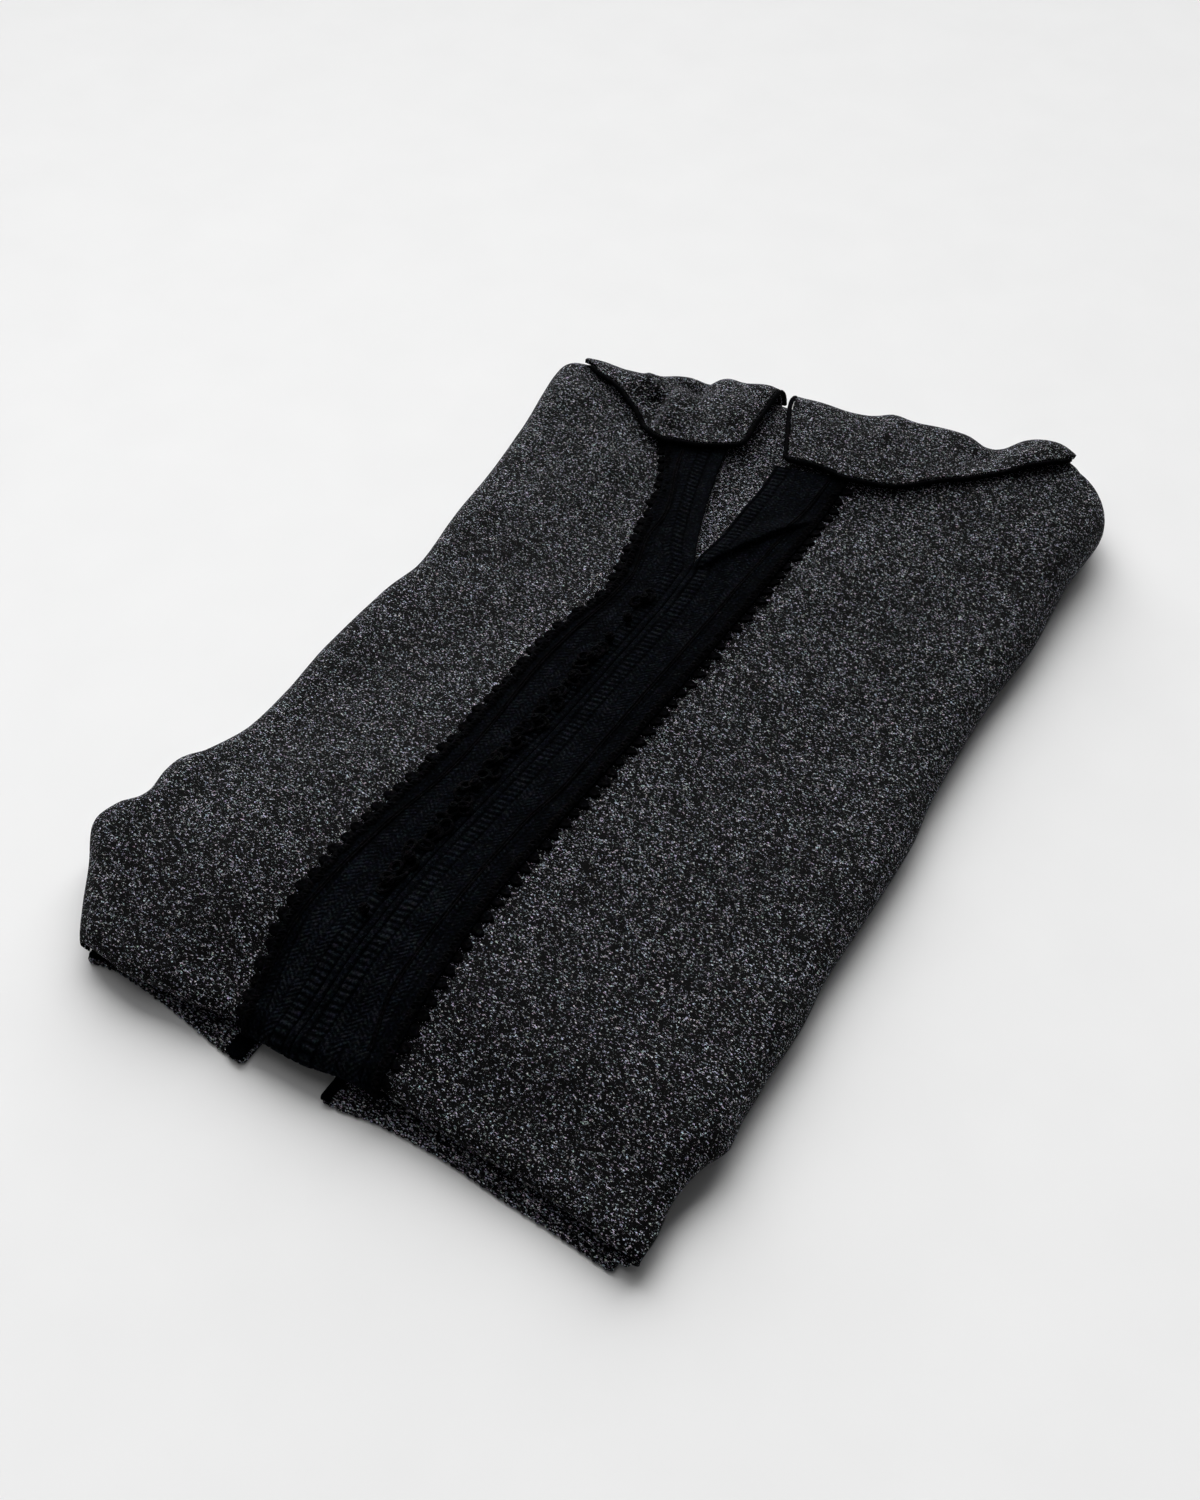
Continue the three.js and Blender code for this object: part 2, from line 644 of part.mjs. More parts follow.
// One half of the hood, turned out over the neck and down the neck end. Its columns are those of
// the fronts' lattice, with its own outer end and its free side along the opening.
function hoodGrid(side) {
  const left = side === 'left';
  const { edge, outer, corner, slit, columns } = HOOD[side];
  const topRow = FIRST_BACK_ROW - 1;
  const edgeRow = (c) => {
    let [low, high] = [topRow / 2, LAST_ROW - 2];
    for (let k = 0; k < 24; k += 1) {
      const half = (low + high) / 2;
      const p = onFace(c, half);
      if (p.y < edge.edge(p.x)) low = half;
      else high = half;
    }
    return (low + high) / 2;
  };
  const down = (end) =>
    BACK_TURNS.map((_, k) => {
      const share = (k + 1) / BACK_TURNS.length;
      return { ...end, r: Math.max(topRow + 1 + k, lerp(end.r, LAST_ROW, share)), fall: 1 + share };
    });
  const line = (c, from = edgeRow(c)) => {
    const top = HOOD_FALLS.map((fall, k) => {
      const r = Math.max(lerp(from, topRow, fall), from + 0.12 * k);
      return { c, r, fall };
    });
    return [...top, ...down(top[top.length - 1])];
  };
  const first = placeOnFace(outer, edge.edge(outer));
  const turn = placeOnFace(corner.x, corner.y);
  const free = line(turn.c, turn.r).map((place) => {
    const y = onFace(place.c, Math.min(place.r, topRow)).y;
    const x = place.fall === 0 ? corner.x : slit(y);
    return { ...place, c: columnAt(x, Math.min(place.r, topRow)) };
  });
  const grid = [line(first.c, first.r), ...columns.map((c) => line(c)), free];
  for (const place of grid.flat()) {
    const { x, y } = onFace(place.c, place.r);
    Object.assign(place, { x, y });
  }
  return left ? grid : grid.reverse();
}

// Lift of the hood's underside: high where its edge lies on the trim, low at its outer ends.
function hoodLift(place) {
  const onTrim = ease((place.x + 88) / 14) * ease((62 - place.x) / 18);
  const settle = lerp(lerp(HOOD_REST, HOOD_LIFT, onTrim), HOOD_REST, ease(place.fall));
  const puff = foldHeight(HOOD_FOLDS, place.x, place.y) * (place.fall <= 1 ? 1 : 2 - place.fall);
  return Math.max(settle + puff, 0.8);
}

function hood(side) {
  const grid = hoodGrid(side);
  const lifted = (extra) => grid.map((l) => l.map((p) => onFace(p.c, p.r, hoodLift(p) + extra)));
  return wall(lifted(CLOTH), lifted(0));
}

// The cord along a hood half's free edges: its front edge, the corner and the opening's side.
function hoodPiping(side) {
  const left = side === 'left';
  const grid = hoodGrid(side);
  const last = grid.length - 1;
  const slit = left ? grid[last] : grid[0];
  const front = left ? grid.map((l) => l[0]) : grid.map((l) => l[0]).reverse();
  const places = [...front, ...slit.slice(1, 8)];
  const corner = front.length - 1;
  const mid = places.map((p) => onFace(p.c, p.r, hoodLift(p) + CLOTH / 2));
  const path = places.map((p, k) => {
    const normal = onFace(p.c, p.r, 1).sub(onFace(p.c, p.r, 0));
    const ahead = mid[Math.min(k + 1, mid.length - 1)];
    const behind = mid[Math.max(k - 1, 0)];
    const along = new THREE.Vector3().subVectors(ahead, behind).normalize();
    const out = new THREE.Vector3().crossVectors(along, normal).normalize();
    if (!left) out.negate();
    const reach = (CORD_R + SEAM) * (k === corner ? 1.25 : 1.05);
    return { point: mid[k].clone().addScaledVector(out, reach), normal };
  });
  return tube(path, CORD_R, 6);
}

// A folded skirt hem: a flat strip with a rounded front edge, swept across the stack along the
// places of its edge. Its back is straight.
function hemStrip(edge, depth, under, thickness) {
  const round = thickness * 0.35;
  const section = [
    [depth, 0],
    [depth, thickness],
    [round, thickness],
    [0, thickness - round],
    [0, round],
    [round, 0],
  ];
  const vertices = edge.flatMap(([x, front]) =>
    section.map(([y, z]) => new THREE.Vector3(x, y === depth ? y : front + y, under + z)),
  );
  const steps = edge.length - 1;
  const n = section.length;
  const triangles = [];
  for (let k = 0; k < steps; k += 1) {
    for (let s = 0; s < n; s += 1) {
      const [a, b] = [k * n + s, k * n + ((s + 1) % n)];
      triangles.push(a, b, a + n, b, b + n, a + n);
    }
  }
  for (let s = 1; s < n - 1; s += 1) {
    triangles.push(0, s + 1, s);
    triangles.push(steps * n, steps * n + s, steps * n + s + 1);
  }
  return solid(vertices, triangles);
}

// Front edge of a skirt layer at x.
function skirtEdgeAt(edge, x) {
  const k = Math.max(edge.findIndex((place) => place[0] >= x), 1);
  const [x0, y0] = edge[k - 1];
  const [x1, y1] = edge[k];
  return lerp(y0, y1, (x - x0) / (x1 - x0));
}

function knot(index) {
  const y = KNOT.first + KNOT.pitch * index;
  const { c, r } = placeOnFace(KNOT.x, y);
  const geometry = new THREE.SphereGeometry(KNOT.radius, 6, 4);
  geometry.deleteAttribute('uv');
  geometry.deleteAttribute('normal');
  const at = onFace(c, r, TRIM_GAP + BRAID + SEAM + KNOT.radius);
  geometry.rotateX(Math.PI / 2);
  geometry.translate(at.x, at.y, at.z);
  return geometry;
}

// ---------------------------------------------------------------- materials and assembly
const marl = { color: 0x2c2e33, roughness: 0.95, metalness: 0 };
const inside = { color: 0x45474b, roughness: 0.95, metalness: 0 };
const black = { color: 0x08090b, roughness: 0.85, metalness: 0 };

const group = new THREE.Group();
function add(name, geometry, finish) {
  const mesh = new THREE.Mesh(geometry, new THREE.MeshStandardMaterial(finish));
  mesh.name = name;
  group.add(mesh);
}

add('core', core(), marl);
add('front_left', clothWall(range(0, OPEN_LEFT), range(0, LAST_ROW)), marl);
add('front_right', clothWall(range(OPEN_RIGHT, LAST_COLUMN), range(0, LAST_ROW)), marl);
add('neck_back', neckBack(), inside);
add('trim_left', trim('left'), black);
add('trim_right', trim('right'), black);
add('hood_left', hood('left'), marl);
add('hood_right', hood('right'), marl);
add('hood_piping_left', hoodPiping('left'), black);
add('hood_piping_right', hoodPiping('right'), black);
for (const { name, edge, depth, under } of SKIRTS) {
  add(name, hemStrip(edge, depth, under, HEM), marl);
}
for (const braid of SKIRT_BRAIDS) {
  const along = SKIRTS[braid.on].edge;
  const laid = [braid.from, braid.to].map((x) => [x, skirtEdgeAt(along, x)]);
  add(braid.name, hemStrip(laid, HEM_BRAID_DEPTH, HEM + SEAM, HEM_BRAID), black);
}
for (let k = 0; k < KNOT.count; k += 1) {
  add(`knot_${String(k + 1).padStart(2, '0')}`, knot(k), black);
}

// The origin is the middle of the footprint's box, at the table.
const box = new THREE.Box3().setFromObject(group);
const centre = box.getCenter(new THREE.Vector3());
group.position.set(-centre.x, -centre.y, -box.min.z);

export default group;
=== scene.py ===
"""Men's djellaba in marl wool, folded into a flat stack and laid on a table, front uppermost.

The cloth follows the same lattice as the solids: columns across the folded stack, rows along it.
Here the lattice is a smooth face, read at any fractional column and row. Plan sizes are in
millimetres, and become metres in the frame when a mesh is made.
"""

import math

import bmesh
import bpy
import numpy as np
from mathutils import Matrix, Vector


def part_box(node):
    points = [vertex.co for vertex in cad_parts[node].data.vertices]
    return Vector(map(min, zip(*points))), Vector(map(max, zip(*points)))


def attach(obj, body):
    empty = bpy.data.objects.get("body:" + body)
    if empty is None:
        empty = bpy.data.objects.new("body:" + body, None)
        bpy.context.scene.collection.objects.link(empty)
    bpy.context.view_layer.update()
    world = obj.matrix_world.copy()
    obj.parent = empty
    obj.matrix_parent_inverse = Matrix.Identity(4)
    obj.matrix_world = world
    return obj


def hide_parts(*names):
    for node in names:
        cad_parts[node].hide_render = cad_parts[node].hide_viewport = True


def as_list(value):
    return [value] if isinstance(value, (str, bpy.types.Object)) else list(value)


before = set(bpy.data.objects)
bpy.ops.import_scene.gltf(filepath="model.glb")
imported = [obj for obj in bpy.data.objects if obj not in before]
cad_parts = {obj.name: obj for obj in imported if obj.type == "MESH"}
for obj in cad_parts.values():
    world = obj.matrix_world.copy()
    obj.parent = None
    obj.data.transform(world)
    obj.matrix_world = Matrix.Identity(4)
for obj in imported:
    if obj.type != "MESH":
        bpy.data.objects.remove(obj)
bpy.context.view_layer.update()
scene = bpy.context.scene

# ---- sizes
MM = 0.001
TURN = 2 * np.pi
SIDES = ("left", "right")
CLOTH = 2.0  # wall of the marl cloth
BRAID = 1.8  # wall of the trim
SEAM = 0.3  # clearance between pieces that touch
TRIM_GAP = 0.6  # clearance of the trim over the fronts
CORD_R = 1.3  # radius of the black piping cord
SIDE_ROLL = 13.0  # half-width of the fold down each long side
FRONT_ROLL = 9.0  # reach of the fold at the skirt end
BACK_ROLL = 12.0  # reach of the fold at the neck end
FOLD_UNDER = 6.0  # height of the underside of the top fold at the skirt end
UNDER_TURN = 50.0  # degrees that a fold carries on past the upright, under the stack
UNDER_FADE = 44.0  # length over which the underside sinks to the floor
HEM = 2.3  # thickness of a folded skirt hem
HEM_BRAID = 1.2  # thickness of the braid on a skirt edge
HEM_BRAID_DEPTH = 20.0
TOOTH_PITCH = 7.2  # crocheted points on the trim's outer edges
TOOTH_DEPTH = 5.5
TOOTH_ROOT = 2.7
TIP_Y = 316.0  # lower end of the neck slit
TRIM_END_Y = 417.0  # the trim ends under the hood
STEP_Y = 34.0  # step of the hidden layers, behind the skirts
HOOD_LIFT = 3.6  # height of the hood over the fronts, where it lies on the trim
HOOD_REST = 1.6  # the same, where it lies on the fronts
HOOD_LEAST = 0.8
PIPING_START = 3.0  # the cord is sewn in this far from the flap's outer end
KNOT = {"radius": 2.5, "first": 66.0, "pitch": 15.5, "count": 15, "x": -5.0}


def smooth(s, start, start_slope, end, end_slope):
    """Smooth curve between two values with given slopes."""
    value = (2 * s**3 - 3 * s**2 + 1) * start + (s**3 - 2 * s**2 + s) * start_slope
    return value + (3 * s**2 - 2 * s**3) * end + (s**3 - s**2) * end_slope


def table(columns, rows):
    """Readers by column name: smooth interpolation in the table's first column."""
    rows = np.array(rows, float)
    key = rows[:, 0]
    padded = np.concatenate([rows[:1], rows, rows[-1:]])
    change = padded[2:] - padded[:-2]
    slopes = change / change[:, :1]

    def reader(c):
        def read(at):
            v = np.clip(at, key[0], key[-1])
            k = np.clip(np.searchsorted(key, v, side="right") - 1, 0, len(key) - 2)
            span = key[k + 1] - key[k]
            s = (v - key[k]) / span
            start, end = rows[k, c], rows[k + 1, c]
            return smooth(s, start, span * slopes[k, c], end, span * slopes[k + 1, c])

        return read

    return {name: reader(c) for c, name in enumerate(columns)}


def curve(pairs):
    """Reader of a smooth curve through pairs of places."""
    return table(["at", "value"], pairs)["value"]


# Cross-sections down the stack: outlines of the long sides, and heights of the top.
SECTIONS = table(["y", "left", "right", "z_left", "z_mid", "z_right"], [
    [0, -104, 161.5, 17, 15, 13], [16, -116, 162.2, 20, 16, 14],
    [31, -126.5, 160.4, 23, 20, 16], [48, -139.5, 162.8, 26, 25, 19],
    [60, -138, 167, 27, 27, 20], [67, -133, 166.6, 27, 27.5, 20.5],
    [74, -131.5, 165.5, 27, 28, 21], [86, -133.5, 165.2, 27, 28, 21],
    [95, -132.5, 164.8, 26.5, 28, 21], [104, -127, 164.9, 26, 28, 21],
    [124, -121, 164.9, 25, 28, 21], [150, -121, 162.5, 25, 28, 21],
    [184, -123.5, 162.7, 25, 27, 21], [230, -123.5, 162, 25, 26.5, 21],
    [256, -120.5, 158.7, 25, 26, 21], [290, -125, 157, 25.5, 26, 21.5],
    [330, -130, 156.5, 26, 26, 22], [370, -136.5, 158.7, 27, 26, 22.5],
    [400, -142.5, 157.4, 28, 26.5, 24], [420, -147, 156.5, 28.5, 27.5, 27],
    [440, -148, 157.5, 28.5, 29, 29.5], [458, -146, 158, 27.5, 29, 30.5],
    [468, -145, 155.5, 27, 29, 31], [480, -143, 148.5, 27, 28, 31],
    [492, -141, 142, 26, 28, 31], [510, -140, 122, 26, 27, 30],
])

# Ends of the stack across its width: nose of the skirt fold and outline of the neck end.
ENDS = table(["x", "front", "back"], [
    [-150, 3, 426], [-138, 2, 431], [-122, 1, 436], [-104, -0.5, 439], [-84, 2, 437.5],
    [-64, 3, 437.5], [-52, 5, 447.5], [-40, 6.5, 459], [-28, 6.5, 465], [-12, 7, 462],
    [8, 7.5, 465.5], [24, 10.5, 469], [42, 11, 477.5], [60, 9.5, 482.5], [79, 9, 484],
    [90, 9, 482.5], [104, 9, 489], [116, 8.5, 496.5], [130, 7.5, 498.5], [146, 5.5, 493.5],
    [152, 5, 486], [160, 4, 474],
])

# Trim band down the fronts: its outer edges, and the middle and width of the front opening.
BAND = table(["y", "left", "middle", "gap", "right"], [
    [0, -22, 2.3, 0, 47], [20, -28, 2.3, 0, 44], [55, -35.5, 2, 0, 41],
    [100, -36, 1.4, 0, 37.5], [160, -32, 3.5, 0, 38.5],
    [240, -33.5, 4, 0, 40], [285, -27.5, 3.6, 0, 40.5],
    [TIP_Y, -34, 1.5, 0, 41], [338, -39, -2.2, 10.5, 41],
    [361, -45, -6.7, 18.6, 41], [393, -61, -12.5, 26.5, 40],
    [415, -68, -16.5, 28, 39], [440, -72, -20, 26, 39],
    [465, -74, -24, 20, 39], [500, -74, -25, 18, 39],
])

# Hood halves: front edge across the stack, outer end, corner at the opening, and lattice columns.
HOODS = {
    "left": {
        "edge": [
            [-131, 428], [-109, 421], [-95, 415], [-81, 405], [-66, 394], [-52, 396.5], [-41, 400],
            [-23, 410],
        ],
        "outer": -131.0,
        "corner": (-24.0, 410.5),
        "columns": [5, 6, 7, 7.5, 8, 8.5, 9, 9.5, 10, 10.5, 11],
    },
    "right": {
        "edge": [
            [1, 411.5], [10, 413.3], [20, 415], [40, 415.6], [60.6, 424.5], [84, 444.5],
            [100, 458.5], [115, 473], [127, 487],
        ],
        "outer": 127.0,
        "corner": (3.4, 412.2),
        "columns": [18.4, 18, 17.5, 17, 16.5, 16, 15, 14, 13.5, 13, 12.6],
    },
}
# Edges of the gap between the hood halves, over the neck end.
HOOD_SLIT = table(["y", "left", "right"], [
    [398, -23, 5], [411, -24, 3.4], [427, -26, -3.6], [450, -28, -14], [462, -29, -18],
    [500, -29, -18],
])
# Places of a hood line: shares of the way from its front edge to the neck end, and round that.
HOOD_FALLS = [0, 0.1, 0.35, 0.67, 1]
ROUND_FALLS = [0.25, 0.5, 0.75, 1]

# Soft folds of the top: two ends of the line, half-width and height of each.
FOLDS = [
    [-60, 40, -70, 110, 26, 3.5], [-100, 150, -60, 230, 24, -1.8],
    [-112, 300, -70, 350, 22, 2.0], [-118, 405, -72, 368, 13, 3.0],
    [-72, 462, -69, 444, 9.5, -11.5], [92, 488, 88, 466, 9, -4.2], [60, 40, 140, 60, 26, 1.6],
    [70, 210, 120, 270, 30, -1.4], [60, 350, 130, 420, 26, 1.6], [22, 330, 38, 386, 15, -0.9],
    [10, 336, 14, 408, 15, 0.8],
]
HOOD_FOLDS = [
    [-101, 441, -94, 428, 10, 4.4], [-88, 428, -82, 422, 6, 3.0],
    [-70, 424, -66, 408, 5.5, 2.6], [-79, 418, -74, 402, 4.0, -5.0],
    [-64, 424, -60, 410, 8, 1.8], [-63, 443, -56, 430, 3.6, -3.2],
    [-33, 468, -38, 428, 10, 3.2], [-14, 466, 12, 446, 13, 2.4], [33, 478, 38, 452, 8, 3.4],
    [30, 462, 32, 452, 5, -0.8], [92, 482, 90, 468, 8, -0.8], [118, 492, 109, 474, 10, 2.8],
]
# Folds of the trim. Its right half stands up along the neck slit, and falls into a crease.
TRIM_FOLDS = [[-34, 340, -46, 372, 5.0, 0.8], [12, 60, 20, 110, 8.0, 0.5]]
CREASE = curve([[316, 5], [320, 9], [330, 12.5], [347, 20], [361, 27], [383, 40]])
RIDGE = 3.0
RIDGE_ENDS = ((313, 12), (362, 24))  # where the ridge starts and stops, and how slowly

# Skirt layers under the top fold.
SKIRTS = {
    "skirt_left": {
        "under": 0.0, "depth": 33.0,
        "edge": [
            [-103, -0.2], [-90, 2.5], [-76, 2.2], [-61, 1.0], [-46, -0.8], [-30, -3], [-16, -4.4],
        ],
    },
    "skirt_right_lower": {
        "under": 0.0, "depth": 33.8,
        "edge": [
            [20, -0.4], [29, 0.2], [44, 3], [73, 4.2], [102, 2.5], [130, 1.4], [153.5, -0.4],
        ],
    },
    "skirt_right_upper": {
        "under": HEM + SEAM, "depth": 26.6,
        "edge": [[60, 9], [80, 5.5], [104, 5], [130, 4.4], [158, 3]],
    },
}
# Braid on the skirts: where it starts and ends across the stack, and the skirt that it is sewn on.
SKIRT_BRAIDS = {
    "skirt_braid_left": (-25.0, -17.0, "skirt_left"),
    "skirt_braid_right": (20.0, 24.0, "skirt_right_lower"),
}
TURNED_BRAID = [[-102.5, 1.2], [-97, 2.2], [-90, 3.5]]  # front edge of the braid turned in

# Fine double cords along the trim.
CORD_LINES = {
    "left": [
        [-4, -17], [9, -20], [45, -27], [101, -26], [153, -20], [216, -24], [238, -24], [293, -20],
        [323, -28], [345, -30], [380, -44], [417, -55],
    ],
    "right": [
        [-4, 34], [22, 31], [44, 25], [134, 23], [161, 26], [194, 26], [300, 27], [391, 28],
        [420, 28],
    ],
}

# Plan coordinates to the frame: the skirts' known edges give the shift.
shift = np.array([
    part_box("skirt_right_lower")[0].x / MM - SKIRTS["skirt_right_lower"]["edge"][0][0],
    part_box("skirt_left")[1].y / MM - SKIRTS["skirt_left"]["depth"],
    0.0,
])

# ---- the face of the fronts
# Turns of the rolled edges, from under the stack to its top, and shares of the columns and rows.
ROLL_TURNS = [-UNDER_TURN, -15, 20, 55, 90]
TOP_STEPS = [0, 0.2, 0.42, 0.64, 0.84, 1]
FRONT_TURNS = [-UNDER_TURN, -10, 30, 60, 90]
BODY_STEPS = [0, 0.03, 0.07, 0.115, 0.17, 0.24, 0.33, 0.42, 0.51, 0.6, 0.69, 0.77, 0.85, 0.93, 1]
BACK_TURNS = [90, 60, 25, -10, -UNDER_TURN]
MARKS = [4, 9, 11, 12, 14, 19]  # columns where the lattice's spacing changes
LEFT_INNER, BAND_LEFT, OPEN_LEFT, OPEN_RIGHT, BAND_RIGHT, RIGHT_INNER = MARKS
SPANS = list(zip(MARKS, MARKS[1:]))
WIDE_SPANS = (0, 4)  # the fronts beside the trim, whose columns follow TOP_STEPS
LAST_COLUMN = 23
BODY_ROW = 4
TOP_ROW = 18
LAST_ROW = 22
ROLL_COLUMNS = [*range(LEFT_INNER + 1), *range(RIGHT_INNER, LAST_COLUMN + 1)]
ROLL_ROWS = [*range(BODY_ROW + 1), *range(TOP_ROW, LAST_ROW + 1)]
# Each column's nominal place across the stack, at which the ends are read.
COLUMN_X = (
    [-134 + 0.14 * turn for turn in ROLL_TURNS]
    + [-122 + 89 * step for step in TOP_STEPS[1:-1]]
    + [-33, -15, 0, 4, 22, 40]
    + [40 + 110 * step for step in TOP_STEPS[1:-1]]
    + [156 - 0.07 * turn for turn in reversed(ROLL_TURNS)]
)


def lerp(a, b, t):
    return a + (b - a) * t


def ease(s):
    return 0.5 - 0.5 * np.cos(np.pi * np.clip(s, 0, 1))


def sine(degrees):
    return np.sin(np.radians(degrees))


def cosine(degrees):
    return np.cos(np.radians(degrees))


def fold_height(folds, x, y):
    """Height of a set of soft folds: each is a bell across its line, fading past its ends."""
    total = np.zeros(np.broadcast(x, y).shape)
    for x0, y0, x1, y1, half, height in folds:
        dx, dy = x1 - x0, y1 - y0
        s = np.clip(((x - x0) * dx + (y - y0) * dy) / (dx * dx + dy * dy), 0, 1)
        away = np.hypot(x - x0 - s * dx, y - y0 - s * dy) / half
        total += height * np.exp(-away * away)
    return total


ripple_draw = np.random.default_rng(11)
RIPPLES = [
    (length, ripple_draw.uniform(0, np.pi), ripple_draw.uniform(0, TURN))
    for length in np.geomspace(14, 70, 14)
]


def ripple(x, y):
    """Slight unevenness of a laid wool cloth, the longer the taller."""
    total = 0
    for length, heading, phase in RIPPLES:
        along = x * np.cos(heading) + y * np.sin(heading)
        height = 0.045 * (length / 20) ** 0.7
        total = total + height * np.sin(TURN / length * along + phase)
    return total


def opening(y):
    """Both edges of the front opening."""
    half = np.maximum(BAND["gap"](y), SEAM) / 2
    return BAND["middle"](y) - half, BAND["middle"](y) + half


def roll_turn(u):
    """Turn of the rolled side at a column, in degrees: 90 on the top."""
    return np.interp(u, ROLL_COLUMNS, ROLL_TURNS + ROLL_TURNS[::-1])


def top_sides(y):
    """Where the rolls down the long sides start."""
    return SECTIONS["left"](y) + SIDE_ROLL, SECTIONS["right"](y) - SIDE_ROLL


def column_stops(y):
    """Places across the stack where the lattice's spacing changes."""
    left, right = top_sides(y)
    band_left, band_right = BAND["left"](y) + TOOTH_ROOT, BAND["right"](y) - TOOTH_ROOT
    return [left, band_left, *opening(y), band_right, right]


def column_x(u, y):
    """Place across the stack of a fractional column."""
    stops = column_stops(y)
    turned = SIDE_ROLL * (1 - cosine(roll_turn(u))) - SIDE_ROLL
    x = np.where(u < LEFT_INNER, stops[0] + turned, stops[-1] - turned)
    for k, (low, high) in enumerate(SPANS):
        share = (u - low) / (high - low)
        if k in WIDE_SPANS:
            share = np.interp(u - low, range(6), TOP_STEPS)
        x = np.where((u >= low) & (u <= high), lerp(stops[k], stops[k + 1], share), x)
    return x


def top_height(x, y):
    """Height of the top, apart from the rolls at its ends and sides."""
    left, right = top_sides(y)
    band_left, band_right = BAND["left"](y), BAND["right"](y)
    mid = SECTIONS["z_mid"](y)
    low_left = lerp(SECTIONS["z_left"](y), mid, ease((x - left) / (band_left - left)))
    low_right = lerp(SECTIONS["z_right"](y), mid, ease((right - x) / (right - band_right)))
    z = np.where(x < band_left, low_left, np.where(x > band_right, low_right, mid))
    return z + fold_height(FOLDS, x, y) + ripple(x, y)


def body_ends(u):
    """Where the rolls of the skirt end and of the neck end start, at a column."""
    nominal = np.interp(u, range(LAST_COLUMN + 1), COLUMN_X)
    return ENDS["front"](nominal) + FRONT_ROLL, ENDS["back"](nominal) - BACK_ROLL


def face(u, v):
    """Point on the outer face at fractional column u and row v, in plan millimetres."""
    u, v = np.broadcast_arrays(np.asarray(u, float), np.asarray(v, float))
    body_from, body_to = body_ends(u)
    turn = roll_turn(u)
    full = np.where(turn < 90, np.maximum(sine(turn), 0), 1)
    end_turn = np.interp(v, ROLL_ROWS, FRONT_TURNS + BACK_TURNS)
    spent = (90 - end_turn) / (90 + UNDER_TURN)
    reach = lerp(sine(90 * spent), cosine(end_turn), full)
    rise = lerp(1 - 0.5 * spent * spent, 0.5 + 0.5 * sine(end_turn), full)
    y = lerp(body_from, body_to, np.interp(v, range(BODY_ROW, TOP_ROW + 1), BODY_STEPS))
    y = np.where(v < BODY_ROW, body_from - FRONT_ROLL * reach, y)
    y = np.where(v > TOP_ROW, body_to + BACK_ROLL * reach, y)
    y_top = np.clip(y, body_from, body_to)
    x = column_x(u, y)
    x_top = np.clip(x, *top_sides(y))
    low = FOLD_UNDER * (1 - ease((y - STEP_Y) / UNDER_FADE))
    around = 0.5 + 0.5 * sine(turn)
    z = lerp(low, top_height(x_top, y_top), around * rise)
    return np.stack([x, y, z], -1)


def norm(vectors):
    return np.linalg.norm(vectors, axis=-1)


def unit(vectors):
    return vectors / np.maximum(norm(vectors), 1e-9)[..., None]


def on_face(u, v, lift=0.0):
    """Points moved out along the face's normals, and those normals."""
    step = 0.06
    across = face(np.minimum(u + step, LAST_COLUMN), v) - face(np.maximum(u - step, 0), v)
    along = face(u, np.minimum(v + step, LAST_ROW)) - face(u, np.maximum(v - step, 0))
    normals = unit(np.cross(across, along))
    return face(u, v) + normals * np.asarray(lift)[..., None], normals


def row_of(u, y):
    """Fractional row of the place at y in a column, over the top and round the neck end."""
    body_from, body_to = body_ends(u)
    share = (y - body_from) / (body_to - body_from)
    row = np.interp(share, BODY_STEPS, range(BODY_ROW, TOP_ROW + 1))
    turn = np.degrees(np.arccos(np.clip((y - body_to) / BACK_ROLL, 0, 1)))
    past = np.interp(-turn, [-t for t in BACK_TURNS], range(TOP_ROW, LAST_ROW + 1))
    return np.where(y > body_to, past, row)


def column_of(x, y):
    """Fractional column of a place on the top."""
    stops = column_stops(y)
    u = np.where(x < stops[0], LEFT_INNER, RIGHT_INNER)
    for k, (low, high) in enumerate(SPANS):
        share = (x - stops[k]) / (stops[k + 1] - stops[k])
        inside = np.interp(share, TOP_STEPS, range(6)) if k in WIDE_SPANS else share * (high - low)
        u = np.where((share >= 0) & (share <= 1), low + inside, u)
    return u


def place(x, y):
    """Fractional column and row of places on the top."""
    u = column_of(x, y)
    return u, row_of(u, y)


def line_down(column):
    """The face's line down a column, as a reader of rows."""
    return lambda v: face(column, v)


def line_across(row):
    """The face's line across a row, as a reader of columns."""
    return lambda u: face(u, row)


def lengths(points):
    """Distance along a line of points."""
    return np.concatenate([[0], np.cumsum(norm(np.diff(points, axis=0)))])


def spread(low, high, step, line):
    """Values from low to high, evenly spaced in millimetres along a line of the face."""
    dense = np.linspace(low, high, 600)
    run = lengths(line(dense))
    count = max(int(run[-1] / step), 2) + 1
    return np.interp(np.linspace(0, run[-1], count), run, dense)


# ---- meshes
def grid_faces(count_a, count_b):
    """Faces of a grid of points, and its rim in order."""
    index = np.arange(count_a * count_b).reshape(count_a, count_b)
    quads = np.stack([index[:-1, :-1], index[1:, :-1], index[1:, 1:], index[:-1, 1:]], -1)
    rim = np.concatenate([index[:-1, 0], index[-1, :-1], index[:0:-1, -1], index[0, :0:-1]])
    return quads.reshape(-1, 4), rim


def ring_faces(rings, sides):
    """Faces that join closed rings of points, one after another."""
    ring, spoke = np.meshgrid(range(rings - 1), range(sides), indexing="ij")
    a, b = ring * sides + spoke, ring * sides + (spoke + 1) % sides
    return np.stack([a, b, b + sides, a + sides], -1).reshape(-1, 4).tolist()


def capped_rings(rings, sides):
    """The same, closed by a flat face at each end."""
    first = list(range(sides))[::-1]
    last = [(rings - 1) * sides + s for s in range(sides)]
    return [*ring_faces(rings, sides), first, last]


